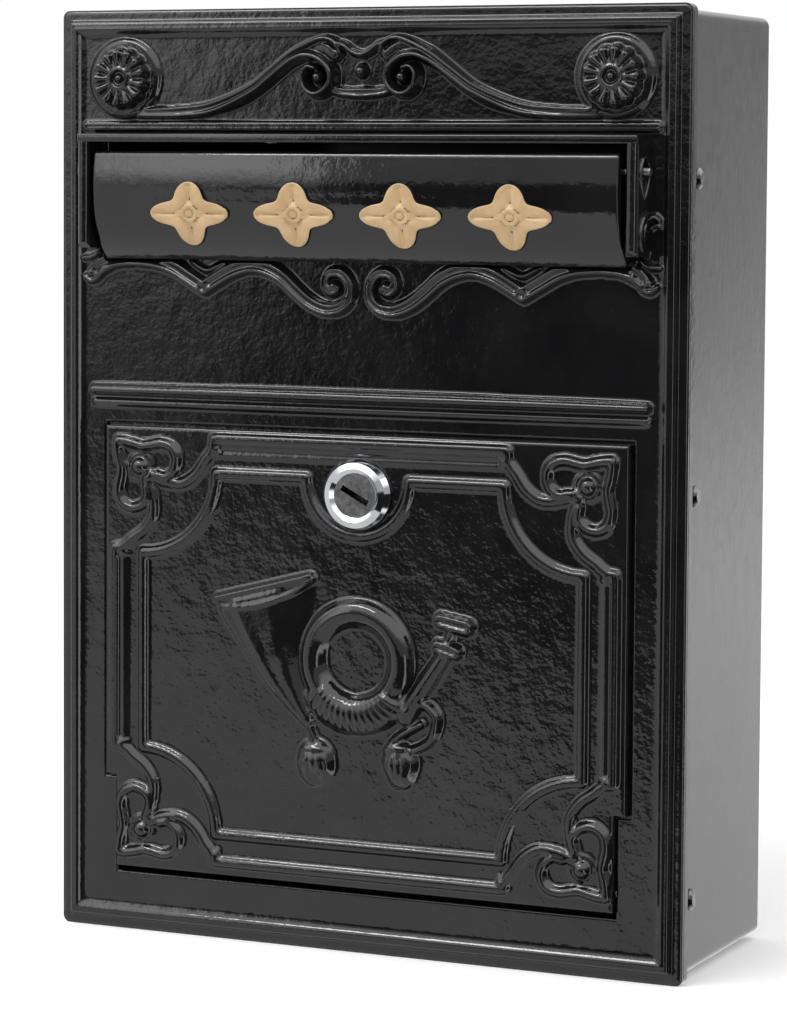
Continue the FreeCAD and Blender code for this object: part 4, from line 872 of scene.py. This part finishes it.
# bands along the leaf's edges turn in to the corners' ornaments. Points are given from the leaf's
# corner, inwards and upwards, and bands by width, height and form
corner = {
    "step": [(4.6, 52.0), (4.9, 50.5), (8.0, 50.3)],
    "strip": [(11.0, 48.3), (12.8, 46.6), (18.5, 42.6), (22.4, 37.0), (22.8, 31.5), (21.6, 25.5),
              (19.6, 21.5)],
    "band": ([4.4, 4.4], [2.4, 2.4], "rail"),
    "lug": [(6.8, 53.4), (8.6, 52.4), (10.8, 52.6)],
    "lugBand": ([1.4, 1.8, 1.4], [1.6, 2.6, 1.6], "round"),
    "clover": [(19.5, 24.5), (20.2, 28.6), (17.6, 32.3), (12.6, 33.6), (8.2, 31.4), (6.6, 26.5), (7.4, 21.5),
               (8.0, 17.5), (6.9, 13.0), (6.3, 9.0), (6.3, 6.3), (9.0, 6.3), (13.0, 6.9), (17.5, 8.0),
               (21.5, 7.4), (26.5, 6.6), (31.4, 8.2), (33.6, 12.6), (32.3, 17.6), (28.6, 20.2), (24.5, 19.5)],
    "cloverBand": ([3.6, 4.4, 4.4, 4.4, 4.4, 4.4, 3.6], [2.7, 2.7], "round"),
    "middle": (16.5, 16.5),
    "ringReach": 6.0,
    "ring": (5.2, 1.3, 1.2),
    "ball": (3.7, 3.9),
    "lowShift": 1.1,
    "topEdge": 3.8,
    "lowEdge": 5.6,
}
edgeBand = corner["step"] + [tuple(spot) for spot in smoothPath(corner["strip"], 1.5)]


def swapped(points):
    # the mirror image in the corner's diagonal
    return [(v, u) for u, v in points]


def placed(points, top, shift=0.0):
    foot = door["high"] if top else door["low"]
    return [(-door["half"] + u + shift, foot - v if top else foot + v) for u, v in points]


sideBand = placed(edgeBand, False)[::-1] + placed(edgeBand, True)
raiseRidge(leaf, sideBand, *corner["band"], True, 0.2, smooth=False)
for top, level in ((False, corner["lowEdge"]), (True, corner["topEdge"])):
    half = placed([(52.0, level), (50.5, level + 0.2)] + swapped(edgeBand)[2:], top)
    whole = half[::-1] + [(-x, up) for x, up in half]
    raiseRidge(leaf, whole, *corner["band"], False, 0.2, smooth=False)
faint = [
    # path, width, height, mirrored
    ([(-62, door["high"] - 7.0), (62, door["high"] - 7.0)], 1.6, 1.2, False),
    ([(-60, door["high"] - 10.2), (60, door["high"] - 10.2)], 1.4, 0.7, False),
    ([(8.8 - door["half"], 82), (8.8 - door["half"], 157)], 3.2, 0.9, True),
]
for line, width, height, both in faint:
    raiseRidge(leaf, line, [width, width], [height, height], "flat", both, 0.2, smooth=False)

for top in (False, True):
    shift = 0.0 if top else corner["lowShift"]
    raiseRidge(leaf, placed(corner["clover"], top, shift), *corner["cloverBand"], True, 0.2)
    for lug in (corner["lug"], swapped(corner["lug"])):
        raiseRidge(leaf, placed(lug, top), *corner["lugBand"], True, 0.3)
    ballX, ballUp = placed([corner["middle"]], top, shift)[0]
    raiseRound(leaf, ballX, ballUp, corner["ringReach"], ring(*corner["ring"]), True, 0.2)
    raiseBall(leaf, ballX, ballUp, *corner["ball"], True, 0.2)

# the post horn in the middle
horn = {
    "bell": ([(-41.7, 144.6), (-37, 126.8), (-32.5, 114.5), (-26.5, 103.3), (-21, 95.5)],
             [43.0, 32.5, 23.0, 15.2, 8.5], [4.2, 4.8, 5.0, 4.8, 4.4],
             [(-1, 0), (-0.97, 0.5), (-0.92, 0.66), (-0.76, 0.66), (-0.7, 0.72), (-0.66, 0.98), (-0.6, 1.0),
              (-0.3, 0.97), (0.1, 0.98), (0.36, 0.94), (0.62, 0.7), (0.84, 0.36), (1, 0)],
             {"soft": 0.3, "blunt": True}),
    "mouthFill": ([(-60, 140.6), (-40, 145.6), (-22, 151.4)],
                  [3.0, 6.4, 3.0], [3.4, 3.6, 3.4], "flat", {"soft": 0.3}),
    "mouthTop": ([(-62.6, 141.6), (-20, 152.9)],
                 [2.6, 2.4, 2.0], [5.2, 5.2, 4.8], "round", {"soft": 0.2, "smooth": False}),
    "mouthLip": ([(-62.4, 140.8), (-58.2, 138.2), (-48, 138.9), (-37.4, 141.5), (-27, 145.8), (-18.8, 151.6)],
                 [1.6, 2.2, 2.2, 2.0, 1.6], [4.6, 5.4, 5.4, 5.2, 4.8], "round", {"soft": 0.2}),
    "pipe": ([(22, 98.5), (26.4, 105.7), (33, 115.5), (38.6, 124)],
             [9.0, 8.2, 7.8, 7.2], [4.6, 4.6, 4.3, 4.0], "round", {"soft": 0.4}),
    "neck": ([(39.4, 126), (40.6, 130.4), (42, 134.6)],
             [5.0, 4.6, 5.4], [3.4, 3.4, 3.6], "round", {"soft": 0.2}),
    "collar": ([(36.2, 127.6), (43.6, 125.4)],
               [5.6, 5.8], [5.0, 5.0], "twin", {"soft": 0.2, "smooth": False}),
    "cup": ([(37.2, 138), (48.4, 135.8)], [6.2, 6.8], [5.2, 5.2], "twin", {"soft": 0.2, "smooth": False}),
    "wrap": (quarter(0, door["middle"], 22.0, 224, 316, 12),
             [14.5, 16.0, 16.0, 14.0], [4.6, 5.2, 5.2, 4.6], "round", {"soft": 0.3}),
    "loop": ([(18, 103.4), (24, 103.8), (30, 103.8), (34.6, 100.4), (35.4, 96.4), (33.4, 90), (29, 86.6),
              (25, 85)],
             [3.4, 4.2, 4.2, 3.4], [3.4, 3.9, 3.9, 3.2], "round", {"soft": 0.3}),
    "innerLoop": ([(28.4, 95.6), (22.6, 92.4), (17.4, 88.8), (13.4, 84.4)],
                  [2.8, 3.2, 2.8], [3.0, 3.6, 3.2], "round", {"soft": 0.3}),
    "cord": ([(-22, 93), (-20, 89.6), (-18.4, 86)], [3.4, 3.0], [3.2, 3.0], "round", {"soft": 0.3}),
    # reach of each ring, then its radius, width and height
    "ringReach": 26.5,
    "ring": (19.6, 11.0, 4.8),
    "innerReach": 16.0,
    "innerRing": (14.3, 1.2, 2.0),
    "ribs": 14,
    "ribStart": 223.5,
    "ribStep": 7.1,
    "ribLine": ((14.6, -0.06), (19.5, 0.0), (25.0, 0.05), (30.0, 0.10)),
}
raiseNamed(leaf, horn, "bell", "mouthFill", "mouthTop", "mouthLip")
raiseRound(leaf, 0, door["middle"], horn["ringReach"], ring(*horn["ring"]), soft=0.4)
raiseRound(leaf, 0, door["middle"], horn["innerReach"], ring(*horn["innerRing"]), soft=0.2)
raiseNamed(leaf, horn, "pipe", "neck", "collar", "cup", "wrap")
for k in range(horn["ribs"]):
    # slanted ribs of the cord that is wound round the ring
    turn = math.radians(horn["ribStart"] + k * horn["ribStep"])
    ribs = []
    for reach, lean in horn["ribLine"]:
        ribs.append((reach * math.cos(turn + lean), door["middle"] + reach * math.sin(turn + lean)))
    raiseRidge(leaf, ribs, [1.6, 2.2, 2.2, 1.4], [1.3, 1.9, 1.3, 0.1], "round", add=True)
raiseNamed(leaf, horn, "loop", "innerLoop", "cord")
tassels = {
    # line, widths and heights
    "right": ([(18.8, 84.5), (19.4, 80.5), (19.8, 76), (19.8, 70)], [9, 16.6, 13, 2.5], [4.0, 4.8, 4.4, 1.6]),
    "left": ([(-18.2, 81.5), (-18, 78), (-17.8, 75), (-17.6, 72.6)], [10, 17, 17, 10], [4.0, 4.8, 4.4, 2.2]),
}
for points, width, height in tassels.values():
    raiseRidge(leaf, points, width, height, "round", soft=0.4)
    for share in (-0.66, -0.34, 0.0, 0.34, 0.66):
        strands = [(x + share * w * 0.5, up) for (x, up), w in zip(points, width)]
        raiseRidge(leaf, strands, [1.2, 1.6, 1.5, 1.0], [0.3, 1.3, 1.2, 0.3], "round", add=True)
    raiseRidge(leaf, [(points[0][0] - 3.6, points[0][1] + 1.4), (points[0][0] + 3.6, points[0][1] + 1.4)],
               [2.6, 2.6], [4.6, 4.6], "round", soft=0.2)

thickPaint(leaf)
x, z = leaf["x"], leaf["z"]
sideGap = np.where(z > door["notchTop"] + plateFoot, door["half"] - np.abs(x), door["notchHalf"] - np.abs(x))
footGap = z - door["low"] - plateFoot
notchGap = np.hypot(np.clip(door["notchHalf"] - np.abs(x), 0, None),
                    np.clip(z - door["notchTop"] - plateFoot, 0, None))
gap = np.minimum(np.minimum(sideGap, footGap), np.minimum(door["high"] + plateFoot - z, notchGap))
roundOff(leaf, np.clip(gap, 0, None), door["edge"])
lockUp = door["lockUp"] + plateFoot


def inNotch(x, z):
    return abs(x) > door["notchHalf"] and z < door["notchTop"] + plateFoot


def inLockHole(x, z):
    return math.hypot(x, z - lockUp) < door["lockHole"]


doorSkin = castSkin("castDoor", leaf, door["front"], door["rear"], [inNotch, inLockHole], castEnamel)
doorRear = rearOf("castDoorRear", "door", door["cut"], castEnamel)
for piece in (doorSkin, doorRear):
    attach(piece, "door")
    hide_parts("door")
print("door made with", len(doorSkin.data.polygons), "faces")

studio = {
    "lamps": [
        # name, place, width, height, power in watts, seen in gloss
        ("overheadSoft", (-0.35, -0.75, 1.15), 0.9, 0.18, 9.0, True),
        ("leftStrip", (-1.3, -0.9, 0.1), 0.3, 1.2, 9.0, False),
        ("rightStrip", (1.3, -1.0, 0.1), 0.3, 1.2, 9.0, False),
    ],
    "fill": 0.80,
    "floorLift": 0.17,
    "slant": 0.5,
    "lean": 1.38,
    # what gloss shows of the room is the brightest of these, and each is the product of its parts, given
    # as value, from, from, to, to and kind
    "room": {
        "lowFront": [("slant", -0.345, -0.329, 1.28, 0.02, "SMOOTHSTEP")],
        "window": [("x", -0.475, -0.42, 1.0, 0.0, "LINEAR"), ("z", -0.06, 0.03, 0.3, 2.2, "LINEAR"),
                   ("z", 0.04, 0.16, 1.0, 2.0, "LINEAR"), ("x", -0.8, -0.6, 0.3, 1.0, "LINEAR")],
        "sideStrip": [("x", 0.66, 0.72, 0.0, 4.0, "LINEAR"), ("x", 0.8, 0.86, 1.0, 0.0, "LINEAR"),
                      ("y", -0.1, 0.1, 1.0, 0.0, "LINEAR"), ("z", 0.05, 0.11, 1.0, 0.1, "LINEAR")],
        "glow": [("z", 0.01, 0.05, 0.0, 0.8, "LINEAR")],
        "ceiling": [("z", 0.2, 0.5, 0.0, 3.2, "LINEAR")],
        "behind": [("y", 0.2, 0.6, 0.0, 1.0, "LINEAR"), ("lean", 0.415, 0.43, 1.3, 0.7, "LINEAR"),
                   ("z", -0.11, -0.04, 1.55, 1.0, "LINEAR"), ("z", -0.2, -0.11, 0.78, 1.0, "LINEAR")],
    },
}
for name, place, width, height, power, inGloss in studio["lamps"]:
    lamp = bpy.data.lights.new(name, "AREA")
    lamp.shape = "RECTANGLE"
    lamp.size, lamp.size_y = width, height
    lamp.energy = power
    holder = bpy.data.objects.new(name, lamp)
    holder.location = place
    holder.visible_glossy = inGloss
    holder.rotation_euler = (Vector((0, -0.08, 0)) - Vector(place)).to_track_quat("-Z", "Y").to_euler()
    scene.collection.objects.link(holder)

world = bpy.data.worlds.new("studio")
world.use_nodes = True
scene.world = world
tree = world.node_tree
nodes, links = tree.nodes, tree.links
nodes.clear()
output = nodes.new("ShaderNodeOutputWorld")
path = nodes.new("ShaderNodeLightPath")
direction = nodes.new("ShaderNodeTexCoord")
fill = nodes.new("ShaderNodeBackground")
fill.inputs["Color"].default_value = (1, 1, 1, 1)
fill.inputs["Strength"].default_value = studio["fill"]
white = nodes.new("ShaderNodeBackground")
white.inputs["Color"].default_value = (1, 1, 1, 1)
room = nodes.new("ShaderNodeBackground")
split = nodes.new("ShaderNodeSeparateXYZ")
links.new(direction.outputs["Generated"], split.inputs["Vector"])
aim = {"x": split.outputs["X"], "y": split.outputs["Y"], "z": split.outputs["Z"]}


def mathNode(tree, kind, *values):
    node = tree.nodes.new("ShaderNodeMath")
    node.operation = kind
    for socket, value in zip(node.inputs, values):
        if isinstance(value, float):
            socket.default_value = value
        else:
            tree.links.new(value, socket)
    return node.outputs[0]


def mixShaders(tree, share, first, second):
    mix = tree.nodes.new("ShaderNodeMixShader")
    for socket, value in zip(mix.inputs, (share, first, second)):
        tree.links.new(value, socket)
    return mix.outputs[0]


for tilt in ("slant", "lean"):
    aim[tilt] = mathNode(tree, "MULTIPLY_ADD", aim["x"], studio[tilt], aim["z"])
brightest = None
for parts in studio["room"].values():
    product = None
    for value, *limits, kind in parts:
        level = nodes.new("ShaderNodeMapRange")
        level.interpolation_type = kind
        for key, limit in zip(("From Min", "From Max", "To Min", "To Max"), limits):
            level.inputs[key].default_value = limit
        links.new(aim[value], level.inputs["Value"])
        result = level.outputs["Result"]
        product = mathNode(tree, "MULTIPLY", product, result) if product else result
    brightest = mathNode(tree, "MAXIMUM", brightest, product) if brightest else product
links.new(brightest, room.inputs["Strength"])
glossy = mixShaders(tree, path.outputs["Is Glossy Ray"], fill.outputs[0], room.outputs[0])
seenWhite = mathNode(tree, "MAXIMUM", path.outputs["Is Camera Ray"], path.outputs["Is Transmission Ray"])
links.new(mixShaders(tree, seenWhite, glossy, white.outputs[0]), output.inputs["Surface"])

bm = bmesh.new()
bmesh.ops.create_grid(bm, x_segments=8, y_segments=8, size=6.0)
floorMesh = bpy.data.meshes.new("floor")
bmesh.ops.translate(bm, verts=bm.verts, vec=(0, 0, cadLow.z))
bm.to_mesh(floorMesh)
bm.free()
floorPaint, floorShader, _ = newMaterial("floorPaint", (0.93, 0.93, 0.93), 0.9)
# gloss sees the room through the floor, and the camera sees the floor as white but for the shadow
tree = floorPaint.node_tree
path = tree.nodes.new("ShaderNodeLightPath")
seen = mathNode(tree, "MAXIMUM", path.outputs["Is Camera Ray"], path.outputs["Is Transmission Ray"])
lift = mathNode(tree, "MULTIPLY", seen, studio["floorLift"])
floorShader.inputs["Emission Color"].default_value = (1, 1, 1, 1)
tree.links.new(lift, floorShader.inputs["Emission Strength"])
clear = tree.nodes.new("ShaderNodeBsdfTransparent")
surface = mixShaders(tree, path.outputs["Is Glossy Ray"], floorShader.outputs[0], clear.outputs[0])
tree.links.new(surface, tree.nodes["Material Output"].inputs["Surface"])
floor = addPiece("floor", floorMesh, floorPaint)

scene.view_settings.view_transform = "Standard"
view = {
    "place": (0.598, -1.3835, 0.128),
    "yaw": 24.458,
    "pitch": -3.791,
    "roll": 0.349,
    "lens": 125.05,
    "sensor": 36.0,
    "shiftUp": -0.110,
}


def turned(first, second, angle):
    # both axes, turned from the first towards the second
    return (first * math.cos(angle) + second * math.sin(angle),
            second * math.cos(angle) - first * math.sin(angle))


yaw, pitch, roll = (math.radians(view[key]) for key in ("yaw", "pitch", "roll"))
right = Vector((math.cos(yaw), math.sin(yaw), 0))
ahead = Vector((-math.sin(yaw), math.cos(yaw), 0))
ahead, upward = turned(ahead, Vector((0, 0, 1)), pitch)
right, upward = turned(right, upward, roll)
camera = bpy.data.cameras.new("photoView")
camera.lens = view["lens"]
camera.sensor_width = view["sensor"]
camera.shift_y = view["shiftUp"]
cameraHolder = bpy.data.objects.new("photoView", camera)
cameraHolder.matrix_world = Matrix((
    (right.x, upward.x, -ahead.x, view["place"][0]),
    (right.y, upward.y, -ahead.y, view["place"][1]),
    (right.z, upward.z, -ahead.z, view["place"][2]),
    (0, 0, 0, 1),
))
scene.collection.objects.link(cameraHolder)
scene.camera = cameraHolder
print("studio and camera set")
